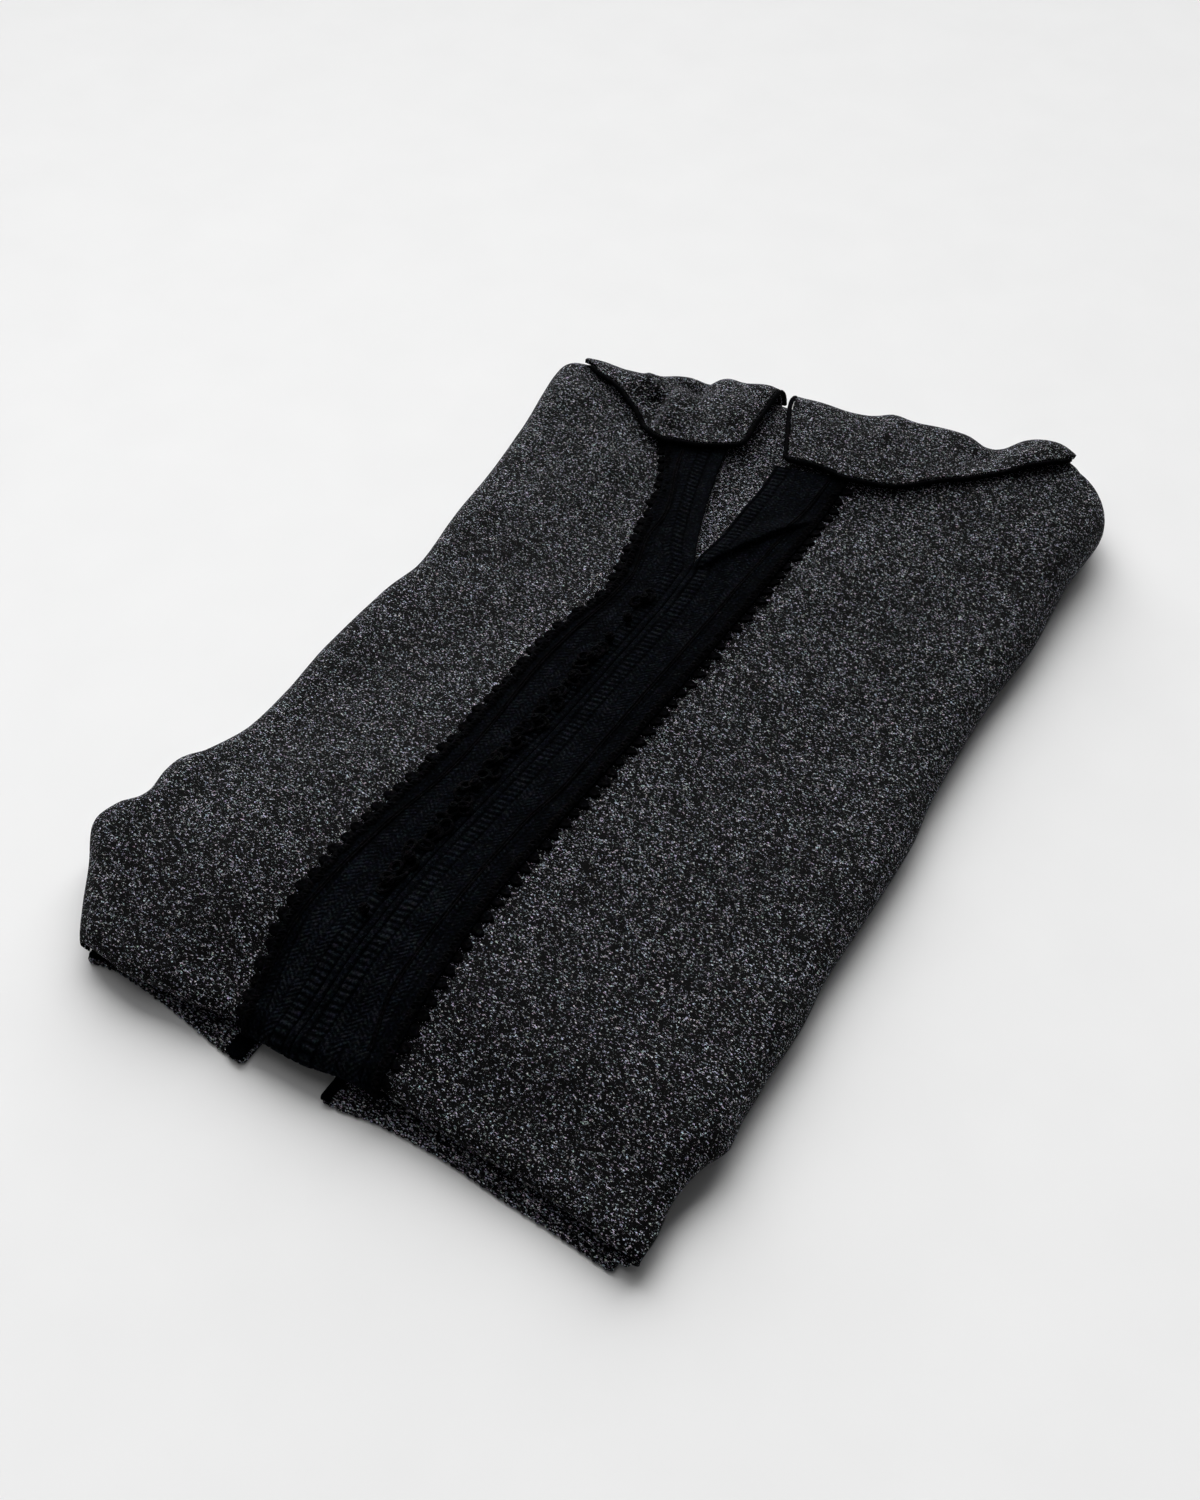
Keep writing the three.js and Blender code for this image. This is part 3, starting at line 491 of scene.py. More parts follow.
def shell(outer, inner):
    """Closed wall between two grids of points: vertices and faces."""
    n = outer.shape[0] * outer.shape[1]
    quads, rim = grid_faces(*outer.shape[:2])
    after = np.roll(rim, -1)
    side = np.stack([after, rim, rim + n, after + n], -1)
    vertices = np.concatenate([outer.reshape(-1, 3), inner.reshape(-1, 3)])
    return vertices, np.concatenate([quads, quads[:, ::-1] + n, side]).tolist()


def tube(path, ups, radius, sides):
    """Round cord along a path, with the normals that give its section's upright."""
    count = len(path)
    along = unit(np.gradient(path, axis=0))
    side = unit(np.cross(along, ups))
    up = np.cross(side, along)
    angle = np.linspace(0, TURN, sides, endpoint=False)
    radius = np.broadcast_to(radius, (count,))[:, None, None]
    spokes = np.cos(angle)[:, None] * up[:, None] + np.sin(angle)[:, None] * side[:, None]
    rings = path[:, None] + spokes * radius
    vertices = np.concatenate([rings.reshape(-1, 3), path[:1], path[-1:]])
    faces = ring_faces(count, sides)
    last = (count - 1) * sides
    for s in range(sides):
        t = (s + 1) % sides
        faces.append([count * sides, t, s])
        faces.append([count * sides + 1, last + s, last + t])
    return vertices, faces


def stand(name, data):
    """A new object in the scene."""
    thing = bpy.data.objects.new(name, data)
    scene.collection.objects.link(thing)
    return thing


def join(parts):
    """Several vertices-and-faces pairs as one."""
    vertices, faces, start = [], [], 0
    for points, polygons in parts:
        vertices.append(points)
        faces.extend([[i + start for i in polygon] for polygon in polygons])
        start += len(points)
    return np.concatenate(vertices), faces


MADE = {}


def make(name, form, material, nodes=(), painted_light=None, sharp=50, weld=False):
    """An object from vertices and faces in plan millimetres, riding on the part's body.

    Each vertex's painted light can be given, from painted shade in the grooves to a painted
    highlight on the crests, for the knit's shades.
    """
    vertices, faces = form
    placed = (vertices + shift) * MM
    placed[:, 2] = np.maximum(placed[:, 2], 0)
    mesh = bpy.data.meshes.new(name)
    mesh.from_pydata(placed.tolist(), [], faces)
    if painted_light is not None:
        layer = mesh.attributes.new("painted_light", "FLOAT", "POINT")
        layer.data.foreach_set("value", painted_light)
    if weld:
        solid = bmesh.new()
        solid.from_mesh(mesh)
        bmesh.ops.remove_doubles(solid, verts=solid.verts, dist=0.02 * MM)
        solid.to_mesh(mesh)
        solid.free()
    mesh.materials.append(material)
    mesh.update()
    mesh.shade_smooth()
    mesh.set_sharp_from_angle(angle=math.radians(sharp))
    piece = stand(name, mesh)
    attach(piece, "root")
    if nodes:
        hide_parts(*nodes)
    MADE[name] = piece


# ---- materials
class Graph:
    """A material's nodes, added one at a time."""

    def __init__(self, name):
        self.material = bpy.data.materials.new(name)
        self.material.use_nodes = True
        self.tree = self.material.node_tree
        self.tree.nodes.clear()

    def add(self, kind, inputs=None, **settings):
        node = self.tree.nodes.new("ShaderNode" + kind)
        for key, value in settings.items():
            setattr(node, key, value)
        for key, value in (inputs or {}).items():
            if isinstance(value, bpy.types.NodeSocket):
                self.tree.links.new(value, node.inputs[key])
            else:
                node.inputs[key].default_value = value
        return node

    def math(self, operation, a, b=0.0, c=0.0, clamp=False):
        node = self.add("Math", {0: a, 1: b, 2: c}, operation=operation, use_clamp=clamp)
        return node.outputs[0]

    def ramp(self, value, stops):
        node = self.add("ValToRGB", {"Fac": value})
        elements = node.color_ramp.elements
        while len(elements) < len(stops):
            elements.new(0.5)
        for element, (at, level) in zip(elements, stops):
            element.position = at
            element.color = (*np.broadcast_to(level, 3), 1)
        return node.outputs["Color"]

    def mix(self, factor, a, b, blend="MIX"):
        node = self.add("Mix", {0: factor, 6: a, 7: b}, data_type="RGBA", blend_type=blend)
        return node.outputs[2]

    def noise(self, vector, scale, detail=2.0, roughness=0.5, distortion=0.0, output="Fac"):
        inputs = {"Vector": vector, "Scale": scale, "Detail": detail}
        inputs |= {"Roughness": roughness, "Distortion": distortion}
        return self.add("TexNoise", inputs).outputs[output]

    def tinted(self, level, base, place, scale):
        """A level in a base colour, with slight coloured specks."""
        specks = self.noise(place, scale, detail=1.0, output="Color")
        specks = self.mix(1.0, specks, DOUBLE, "MULTIPLY")
        return self.mix(1.0, level, self.mix(0.45, base, specks), "MULTIPLY")

    def millimetres(self):
        at = self.add("TexCoord").outputs["Object"]
        return self.add("VectorMath", {0: at, "Scale": 1 / MM}, operation="SCALE").outputs[0]

    def bump(self, height, strength):
        inputs = {"Height": height, "Distance": NAP * MM, "Strength": strength}
        return self.add("Bump", inputs).outputs[0]

    def finish(self, inputs):
        surface = self.add("BsdfPrincipled", inputs)
        self.add("OutputMaterial", {"Surface": surface.outputs[0]})
        return self.material


NAP = 0.5  # height of the fibres' relief in the materials
FLECK = 1.55  # flecks of the marl wool, to a millimetre
NUBS = 0.62  # nubs of the rayon knit, to a millimetre
# Greys of the marl wool from its dark fibres to its pale ones: place on the ramp, and level.
GREYS = {
    "marl_wool": [(0, 0.0003), (0.58, 0.0008), (0.7, 0.004), (0.78, 0.06), (0.873, 0.93)],
    # A brighter copy of the marl: painted light for the neck cloth in its shaded recess.
    "inner_wool": [(0, 0.0004), (0.57, 0.001), (0.67, 0.006), (0.76, 0.09), (0.863, 0.95)],
    # A brighter copy again: painted light for the hems in the fold's shadow.
    "hem_wool_painted_light": [(0, 0.0008), (0.5, 0.002), (0.61, 0.012), (0.71, 0.14), (0.82, 1.0)],
}
# Blacks of the rayon: painted shade in the grooves, between, and a painted highlight on the
# crests.
BLACKS = {
    "black_braid": [(0.0004, 0.0005, 0.0008), (0.0017, 0.0022, 0.0034), (0.0118, 0.0142, 0.0178)],
    "black_cord": [(0.0008, 0.0008, 0.0011), (0.0055, 0.0053, 0.0064), (0.022, 0.021, 0.0235)],
    # A brighter copy of the cord: painted light for the knots' faces that lie in shadow.
    "knot_cord_painted_light": [(0.0013, 0.0013, 0.0016), (0.007, 0.0067, 0.008), (0.028, 0.0265, 0.029)],
}
BLACK_STOPS = (0.1, 0.42, 0.8)
WOOL_TINT = (0.87, 0.91, 1.17, 1)  # the photo's wool is slightly blue
WHITE = (1, 1, 1, 1)
DOUBLE = (2, 2, 2, 1)  # brings a noise's mean colour to white


def marl(name):
    """Salt-and-pepper wool: black and pale fibres in short slanted flecks, with a soft nap."""
    g = Graph(name)
    mm = g.millimetres()
    slant = g.add("Mapping", {"Vector": mm, "Rotation": (0, 0, 0.7), "Scale": (0.8, 1.5, 1.2)})
    cells = g.add("TexVoronoi", {"Vector": slant.outputs[0], "Scale": FLECK}, feature="F1")
    shade = g.add("SeparateColor", {"Color": cells.outputs["Color"]}).outputs[0]
    fibres = g.noise(mm, 1.25 * FLECK, detail=3.0, roughness=0.75, distortion=0.8)
    patches = g.noise(mm, 0.09, detail=3.0, roughness=0.6)
    value = g.math("MULTIPLY_ADD", fibres, 1.5, -0.58)
    value = g.math("MULTIPLY_ADD", shade, 0.62, value)
    value = g.math("MULTIPLY_ADD", g.math("SUBTRACT", patches, 0.5), 0.12, value, clamp=True)
    shader = {
        "Base Color": g.tinted(g.ramp(value, GREYS[name]), WOOL_TINT, mm, 0.9),
        "Roughness": 0.95,
        "Specular IOR Level": 0.06,
        "Sheen Weight": 0.02,
        "Sheen Roughness": 0.5,
        "Normal": g.bump(g.math("MULTIPLY_ADD", shade, 0.6, fibres), 0.7),
    }
    return g.finish(shader)


def woven(name):
    """Black rayon knit: small nubs, with painted shade between them and a painted highlight on the
    crests of its relief.
    """
    g = Graph(name)
    mm = g.millimetres()
    # Painted light: the mesh's painted highlight on the crests and painted shade in the grooves,
    # and a painted highlight on each nub with painted shade between the nubs.
    share = g.add("Attribute", attribute_name="painted_light").outputs["Fac"]
    nubs = g.add("TexVoronoi", {"Vector": mm, "Scale": NUBS, "Randomness": 0.8}, feature="F1")
    nub = g.math("SUBTRACT", 1.0, g.math("MULTIPLY", nubs.outputs["Distance"], 1.25), clamp=True)
    grain = g.noise(mm, 1.1, detail=3.0, roughness=0.7)
    blotch = g.noise(mm, 0.1)
    value = g.math("MULTIPLY_ADD", nub, 0.34, g.math("MULTIPLY", share, 0.4))
    value = g.math("MULTIPLY_ADD", g.math("SUBTRACT", grain, 0.5), 1.1, value)
    value = g.math("MULTIPLY_ADD", g.math("SUBTRACT", blotch, 0.5), 0.4, value, clamp=True)
    shades = g.ramp(value, list(zip(BLACK_STOPS, BLACKS[name])))
    shader = {
        "Base Color": g.tinted(shades, WHITE, mm, 0.4),
        "Roughness": 0.9,
        "Specular IOR Level": 0.008,
        "Normal": g.bump(g.math("MULTIPLY_ADD", nub, 0.8, grain), 0.8),
    }
    return g.finish(shader)


MARL, INNER_WOOL_PAINTED_LIGHT, HEM_WOOL_PAINTED_LIGHT = (marl(name) for name in GREYS)
BLACK_BRAID, BLACK_CORD, KNOT_CORD_PAINTED_LIGHT = (woven(name) for name in BLACKS)

# ---- cloth of the fronts
FRONT_STEP = 2.4
CORNER_PRESS = 0.85  # share of the wall that is pressed away at the corners
# Lines of the face along which the spacing is measured.
LEFT_LINE = line_down(7)
NECK_LINE = line_down(11.5)
CROSS_LINE = line_across(10)


def corner_share(u, v):
    """From 0 to 1 at the stack's four corners, where the side and end folds press flat."""
    aside = np.maximum(LEFT_INNER - u, u - RIGHT_INNER)
    ahead = np.maximum(BODY_ROW - v, v - TOP_ROW)
    return ease(aside / 2.2) * ease(ahead / 2.4)


def cloth_wall(columns, rows, top=0.0):
    """Thin wall of cloth whose outer side is at a height over the face."""
    u, v = np.meshgrid(columns, rows, indexing="ij")
    outer, _ = on_face(u, v, top)
    inner, _ = on_face(u, v, top - CLOTH * (1 - CORNER_PRESS * corner_share(u, v)))
    return shell(outer, inner)


all_rows = spread(0, LAST_ROW, FRONT_STEP, LEFT_LINE)
FRONTS = {"left": (0, OPEN_LEFT), "right": (OPEN_RIGHT, LAST_COLUMN)}
for side, ends in FRONTS.items():
    wall = cloth_wall(spread(*ends, FRONT_STEP, CROSS_LINE), all_rows)
    make(f"front_{side}_cloth", wall, MARL, [f"front_{side}"])

neck_from = np.floor(row_of(OPEN_LEFT, TIP_Y)) - 1
neck_rows = spread(neck_from, LAST_ROW, FRONT_STEP, NECK_LINE)
neck_columns = np.linspace(OPEN_LEFT - 1, OPEN_RIGHT + 1, 28)
neck_wall = cloth_wall(neck_columns, neck_rows, -(CLOTH + SEAM))
# Its wool is brightened: painted light in the shaded recess of the neck.
make("neck_cloth", neck_wall, INNER_WOOL_PAINTED_LIGHT, ["neck_back"])


# ---- hidden layers
LAYER_STEP = 4.0
LAYERS_INSET = {"front": 5.2, "back": 6.5, "side": 7.0}  # the underside, from the outline
UNDER_MARGIN = 2.0  # cut from each end of the face, before it is spread over the underside
NECK_HOLLOW = (9.6, 13.4)  # columns between which the layers sink under the back of the neck
CORNER_COLUMNS = (3.2, 19.8)  # the layers turn in at the corners, to these columns and rows
CORNER_ROWS = (3.0, 19.0)
# Edges of the layers down the sides: share of the way down, and how far each stands in.
LAYER_EDGES = ((0.25, 0.2), (0.42, 0.9), (0.5, 1.5), (0.58, 0.4), (0.85, 0.1))


def folded_layers():
    """Rounded over the top, flat where it rests, stepped over the skirts, layered at its edges."""
    columns = spread(0, LAST_COLUMN, LAYER_STEP, CROSS_LINE)
    rows = spread(0, LAST_ROW, LAYER_STEP, LEFT_LINE)
    u, v = np.meshgrid(columns, rows, indexing="ij")
    hollow_from, hollow_to = NECK_HOLLOW
    recessed = ease((u - hollow_from) / 0.4) * ease((hollow_to - u) / 0.4)
    recessed = recessed * ease((v - neck_from + 0.4) / 0.4)
    corner = corner_share(u, v)
    kept_u = lerp(u, np.clip(u, *CORNER_COLUMNS), corner)
    kept_v = lerp(v, np.clip(v, *CORNER_ROWS), corner)
    top, _ = on_face(kept_u, kept_v, -(CLOTH + SEAM) * (1 + recessed))

    # The underside is a grid of the same size, drawn in under the folds.
    def shares(places):
        span = places[-1] - places[0] - 2 * UNDER_MARGIN
        return np.clip((places - places[0] - UNDER_MARGIN) / span, 0, 1)

    across = shares(column_x(columns, 230.0))[:, None]
    run = NECK_LINE(rows)[:, 1]
    along = shares(run)
    step = int(np.argmin(abs(run - STEP_Y)))
    body_from, body_to = body_ends(columns)
    fore = body_from - FRONT_ROLL + LAYERS_INSET["front"]
    rear = body_to + BACK_ROLL - LAYERS_INSET["back"]
    y = lerp(fore[:, None], STEP_Y, np.minimum(along / along[step], 1)[None, :])
    beyond = (along - along[step + 1]) / (1 - along[step + 1])
    y[:, step + 1 :] = lerp(STEP_Y + 0.5, rear[:, None], beyond[None, step + 1 :])
    inset = LAYERS_INSET["side"]
    x = lerp(SECTIONS["left"](y) + inset, SECTIONS["right"](y) - inset, across)
    z = np.where(np.arange(len(rows)) <= step, FOLD_UNDER - SEAM, 0) + 0 * y
    under = np.stack([x, y, z], -1)

    quads, rim = grid_faces(*u.shape)
    top, under = top.reshape(-1, 3), under.reshape(-1, 3)
    edge, foot = top[rim], under[rim]
    inward = under.mean(0) - foot
    inward[:, 2] = 0
    inward = unit(inward)
    rings = [lerp(edge, foot, share) + inward * hollow for share, hollow in LAYER_EDGES]
    between = 2 * u.size + np.arange(len(rings) * len(rim)).reshape(len(rings), -1)
    walls = np.stack([rim, *between, rim + u.size])
    after = np.roll(walls, -1, axis=1)
    sides = np.stack([after[:-1], walls[:-1], walls[1:], after[1:]], -1).reshape(-1, 4)
    faces = np.concatenate([quads, quads[:, ::-1] + u.size, sides]).tolist()
    return np.concatenate([top, under, *rings]), faces


make("folded_layers", folded_layers(), MARL, ["core"], weld=True)


# ---- trim
TRIM_STEP = 0.66
TRIM_COLUMNS = 66
TRIM_TOP = TRIM_GAP + BRAID
TAPE = 3.2  # smooth tape beside the opening
SLIT_TAPE = {"left": 7.0, "right": 1.4}  # the same, along the neck slit
LADDER = 6.2  # column of rungs beside the tape
RUNG_PITCH = 3.1
RIB_PITCH = 2.3
STRIP = 5.2  # width of a strip of slanted ribs
OUTER_GROOVE = 8.5  # groove beside the outer edge
RELIEF = {"tape": 0.5, "rung": 0.5, "rib": 0.3, "groove": 0.35}
GROOVE_HALF = 0.5
PAINTED_SEAM_SHADE = 0.5  # painted shade: how far the ribs' colour darkens where two strips meet
WEAR_AND_SHEEN = 1.3  # wear and painted sheen: the knit's shades are brighter near the skirt's fold
# Columns of the trim's outer edge and of the opening, and the way outwards.
TRIM_SIDES = {"left": (BAND_LEFT, OPEN_LEFT, -1), "right": (BAND_RIGHT, OPEN_RIGHT, 1)}


def trim_rows(edge):
    return spread(0, row_of(edge, TRIM_END_Y), TRIM_STEP, line_down(edge))


def trim_fold(x, y):
    """Height of the folds that the trim is laid in."""
    inside = CREASE(y) - x
    starts, stops = (ease((y - at) / run) for at, run in RIDGE_ENDS)
    tall = starts * (1 - stops)
    ridge = RIDGE * tall * ease(inside / 2.4) * (1 - 0.5 * ease((inside - 2) / 13))
    return fold_height(TRIM_FOLDS, x, y) + np.where(x > BAND["middle"](y), ridge, 0)


def trim_relief(y, across, along, total, side):
    """Height of the knit, and its painted light, from painted shade in the grooves to a painted
    highlight on the crests, at distances from the opening.
    """
    slit = ease((y - TIP_Y + 4) / 12)
    tape = lerp(TAPE, SLIT_TAPE[side], slit)
    part = np.clip(across / tape, 0, 1)
    dome = np.sqrt(np.clip(1 - (2 * part - 1) ** 2, 0, 1))
    ladder_end = tape + LADDER
    rung = np.abs(np.sin(np.pi * along / RUNG_PITCH)) ** 1.15
    beyond = np.maximum(across - ladder_end, 0)
    strip = np.abs((beyond / STRIP + 1) % 2 - 1) * STRIP
    rib = np.abs(np.sin(np.pi * (along + 0.9 * strip) / RIB_PITCH))
    in_tape = 1 - ease((across - tape) / 0.5)
    in_ladder = (1 - in_tape) * (1 - ease((across - ladder_end) / 0.5))
    in_ribs = 1 - in_tape - in_ladder
    height = in_tape * RELIEF["tape"] * dome + in_ladder * RELIEF["rung"] * rung
    height += in_ribs * RELIEF["rib"] * rib
    # Painted highlight on the tape's dome and on the crests of the rungs and ribs.
    share = in_tape * (0.35 + 0.25 * dome) + in_ladder * (0.04 + 0.92 * rung)
    share += in_ribs * (0.05 + 0.85 * rib)
    # Painted shade where two strips of ribs meet.
    between = np.abs((beyond + STRIP / 2) % STRIP - STRIP / 2)
    share *= 1 - PAINTED_SEAM_SHADE * in_ribs * np.exp(-((between / 0.45) ** 2))
    # Wear and painted sheen: brighter near the skirt's fold.
    share *= lerp(WEAR_AND_SHEEN, 1, ease((y - 45) / 80))
    # Grooves cut into the relief, with painted shade in them.
    for groove in (tape + 0.3, ladder_end + 0.3, total - OUTER_GROOVE):
        cut = np.exp(-(((across - groove) / GROOVE_HALF) ** 2))
        height -= RELIEF["groove"] * cut
        share *= 1 - 0.8 * cut
    # Painted shade along the outer edge, under the chain.
    share *= 1 - 0.4 * ease((across - total + 8) / 1.5)
    return height, np.clip(share, 0, 1.4)


def trim_body(side):
    """Wall of the knitted braid, and its vertices' painted light, from painted shade in the
    grooves to a painted highlight on the crests.
    """
    edge, opened, _ = TRIM_SIDES[side]
    rows = trim_rows(edge)
    columns = np.linspace(min(edge, opened), max(edge, opened), TRIM_COLUMNS)
    u, v = np.meshgrid(columns, rows, indexing="ij")
    base, normals = on_face(u, v)
    width = np.cumsum(norm(np.diff(base, axis=0)), axis=0)
    width = np.concatenate([np.zeros((1, len(rows))), width])
    across = width[-1] - width if side == "left" else width
    along = lengths(base[0 if side == "left" else -1])
    x, y = base[..., 0], base[..., 1]
    height, share = trim_relief(y, across, along, width[-1], side)
    folded = trim_fold(x, y)
    outer = base + normals * (TRIM_TOP + height + folded)[..., None]
    inner = base + normals * (TRIM_GAP + 0.9 * folded)[..., None]
    return shell(outer, inner), np.tile(share.ravel(), 2)


class BandLine:
    """Places along a line beside the trim's outer edge: distance along, distance outwards."""

    def __init__(self, side):
        self.edge, _, self.away = TRIM_SIDES[side]
        self.rows = trim_rows(self.edge)
        line = line_down(self.edge)(self.rows)
        self.run = lengths(line)
        # Width of a column of the lattice on either side of the edge.
        beside = [line_down(self.edge + k * self.away)(self.rows) for k in (-0.5, 0.5)]
        self.widths = [2 * norm(near - line) for near in beside]

    def at(self, along, out, lift):
        v = np.interp(along, self.run, self.rows)
        narrow, wide = (np.interp(along, self.run, width) for width in self.widths)
        u = self.edge + self.away * out / np.where(out > 0, wide, narrow)
        return on_face(u, v, lift)


LOBE_RINGS = [(1.0, 0.15), (1.0, 0.9), (0.8, 1.5), (0.45, 1.25), (0.05, 1.15)]  # size and height
LOBE_SIDES = 18


def lobes(side):
    """Crocheted points along the outer edge, each a rounded tongue with a thick rim."""
    line = BandLine(side)
    draw = np.random.default_rng(5 if side == "left" else 6)
    count = int(line.run[-1] / TOOTH_PITCH)
    each = (count, 1, 1)
    middle = (np.arange(count).reshape(each) + 0.5) * TOOTH_PITCH + draw.uniform(-0.5, 0.5, each)
    depth = TOOTH_DEPTH * draw.uniform(0.75, 1.15, each)
    half = draw.uniform(3.0, 4.0, each)
    lean = draw.uniform(-0.35, 0.2, each)
    angle = np.linspace(0, TURN, LOBE_SIDES, endpoint=False)
    size, lift = np.array(LOBE_RINGS).T[:, None, :, None]
    reach = 0.5 + 0.5 * np.cos(angle) * size
    out = depth * reach - 0.5
    taper = 0.4 if side == "left" else 0.65
    swing = half * np.sin(angle) * size * (1 - taper * reach)
    along = middle + swing + lean * out
    points, _ = line.at(along, out, lift)
    faces = capped_rings(len(LOBE_RINGS), LOBE_SIDES)
    if side == "right":
        faces = [polygon[::-1] for polygon in faces]
    return join([(tongue.reshape(-1, 3), faces) for tongue in points])


CHAIN_PITCH = 4.1
CHAIN_PLACE = -1.9  # middle of the chain, out from the trim's edge
CHAIN_SWING = 1.3
FINE_CORD = {"radius": 0.5, "apart": 0.6, "lift": 0.25, "start": 8, "step": 1.6}


def chain(side):
    """Column of knotted loops between the ribs and the points: two cords that cross."""
    line = BandLine(side)
    draw = np.random.default_rng(17 if side == "left" else 18)
    along = np.arange(0.5, line.run[-1] - 0.5, 0.45)

    def wave(pitch, start):
        return np.sin(TURN * along / pitch + start)

    parts = []
    for phase in (0.0, math.pi):
        starts = draw.uniform(0, TURN, 4)
        uneven = wave(13, starts[0]) + wave(5.7, starts[1])
        swing = TURN * along / CHAIN_PITCH + phase + 0.6 * uneven
        out = CHAIN_PLACE + CHAIN_SWING * np.sin(swing) + 0.3 * wave(9, starts[2])
        lift = TRIM_TOP + 0.1 + 0.35 * np.cos(2 * swing) + 0.15 * uneven
        points, normals = line.at(along, out, lift)
        parts.append(tube(points, normals, 0.75 + 0.15 * wave(2.9, starts[3]), 6))
    return join(parts)


def fine_cord(side, aside):
    """One of the two fine cords that run side by side along the trim."""
    line = CORD_LINES[side]
    y = np.arange(line[0][0] + FINE_CORD["start"], line[-1][0], FINE_CORD["step"])
    u, v = place(curve(line)(y) + aside, y)
    points, normals = on_face(u, v, TRIM_TOP + FINE_CORD["lift"])
    points[:, 2] += trim_fold(points[:, 0], points[:, 1])
    return tube(points, normals, FINE_CORD["radius"], 6)


for side in SIDES:
    body, painted_light = trim_body(side)
    make(f"trim_{side}_braid", body, BLACK_BRAID, [f"trim_{side}"], painted_light)
    make(f"trim_{side}_points", lobes(side), BLACK_CORD, sharp=70)
    make(f"trim_{side}_chain", chain(side), BLACK_CORD)
    pair = [fine_cord(side, aside * FINE_CORD["apart"]) for aside in (-1, 1)]
    make(f"trim_{side}_cords", join(pair), BLACK_CORD)


# ---- knots
KNOT_WIRE = 0.62  # radius of the cord that a knot is wound from
LOOP_FROM = 76.0  # the lowest knots have no loops, nor has a stretch further up
LOOP_BREAK = (246, 280)


def winding(centre, radius, turns, tilt):
    """Cord wound round a ball."""
    t = np.linspace(0, 1, 14 * turns)
    pole = np.pi * (0.06 + 0.88 * t)
    spin = TURN * turns * t
    ball = np.stack([np.sin(pole) * np.cos(spin), np.sin(pole) * np.sin(spin), np.cos(pole)], -1)
    c, s = math.cos(tilt), math.sin(tilt)
    turned = ball @ np.array([[c, 0, s], [0, 1, 0], [-s, 0, c]])
    return tube(centre + turned * radius, turned, KNOT_WIRE, 5)


def knot(index):
    """Ball of cord: one winding over another."""
    y = KNOT["first"] + KNOT["pitch"] * index
    centre, _ = on_face(*place(KNOT["x"], y), TRIM_TOP + SEAM + KNOT["radius"])
    radius = KNOT["radius"] - KNOT_WIRE
    draw = np.random.default_rng(40 + index)
    over = winding(centre, radius, 4, draw.uniform(0.2, 0.9))
    return join([over, winding(centre, radius * 0.92, 3, draw.uniform(1.6, 2.3))])


def loops():
    """Cord curled over and between the knots, so that they read as one knotty row."""
    draw = np.random.default_rng(9)
    parts = []
    turn = np.linspace(0, TURN, 20)
    for index in range(4 * KNOT["count"]):
        x = KNOT["x"] + draw.uniform(-4.0, 3.4)
        y = KNOT["first"] + KNOT["pitch"] * (index - 1.5) / 4 + draw.uniform(-1, 1)
        if y < LOOP_FROM or LOOP_BREAK[0] < y < LOOP_BREAK[1]:
            continue
        wide, long, lean = draw.uniform(2.5, 3.8), draw.uniform(1.7, 2.8), draw.uniform(0, np.pi)
        ring_x = wide * np.cos(turn) * np.cos(lean) - long * np.sin(turn) * np.sin(lean)
        ring_y = wide * np.cos(turn) * np.sin(lean) + long * np.sin(turn) * np.cos(lean)
        u, v = place(x + ring_x, y + ring_y)
        rise = 0.9 + 0.7 * np.sin(turn + draw.uniform(0, TURN)) + draw.uniform(0, 0.8)
        points, normals = on_face(u, v, TRIM_TOP + rise)
        parts.append(tube(points, normals, draw.uniform(0.65, 0.95), 6))
    return join(parts)


KNOTS = [f"knot_{k + 1:02d}" for k in range(KNOT["count"])]
# The knots' cord is brightened: painted light on faces turned away from the sun.
for k, node in enumerate(KNOTS):
    make(f"{node}_cord", knot(k), KNOT_CORD_PAINTED_LIGHT, [node])
make("knot_loops", loops(), KNOT_CORD_PAINTED_LIGHT)


# ---- hood
HOOD_GRID = (97, 57)  # places across a hood half, and from its front edge over the neck end
PIPING_DOWN = 46  # places of the grid that the cord follows down the side at the opening
PIPING_STEP = 1.2
PIPING_SIDES = 10


def refine(values):
    """A grid of values read smoothly at the hood's places."""

    def along(grid, count):
        n = grid.shape[0]
        t = np.linspace(0, n - 1, count)
        k = np.clip(t.astype(int), 0, n - 2)
        slope = np.gradient(grid, axis=0)
        return smooth((t - k)[:, None], grid[k], slope[k], grid[k + 1], slope[k + 1])

    return along(along(values, HOOD_GRID[0]).T, HOOD_GRID[1]).T


def hood_lines(side):
    """Columns, rows and falls of the lines that a hood half is laid on, as in the solids."""
    hood = HOODS[side]
    edge = curve(hood["edge"])
    corner_x, corner_y = hood["corner"]
    falls = [*HOOD_FALLS, *(1 + share for share in ROUND_FALLS)]

    def edge_row(c):
        low, high = TOP_ROW / 2, LAST_ROW - 2.0
        for _ in range(24):
            half = (low + high) / 2
            point = face(c, half)
            low, high = (half, high) if point[1] < edge(point[0]) else (low, half)
        return (low + high) / 2

    def line(start):
        over = [lerp(start, TOP_ROW, fall) for fall in HOOD_FALLS]
        over = [max(row, start + 0.12 * k) for k, row in enumerate(over)]
        beyond = [lerp(over[-1], LAST_ROW, share) for share in ROUND_FALLS]
        return over + [max(row, TOP_ROW + 1 + k) for k, row in enumerate(beyond)]

    outer = place(hood["outer"], edge(hood["outer"]))
    corner_u, corner_v = place(corner_x, corner_y)
    starts = [outer, *((c, edge_row(c)) for c in hood["columns"])]
    lines = [[[c] * len(falls), line(start), falls] for c, start in starts]
    rows = line(corner_v)
    columns = []
    for row, fall in zip(rows, falls):
        y = face(corner_u, min(row, TOP_ROW))[1]
        x = corner_x if fall == 0 else HOOD_SLIT[side](y)
        columns.append(column_of(x, y))
    lines.append([columns, rows, falls])
    grid = np.array(lines)
    if side == "right":
        grid = grid[::-1]
    return [refine(grid[:, k]) for k in range(3)]


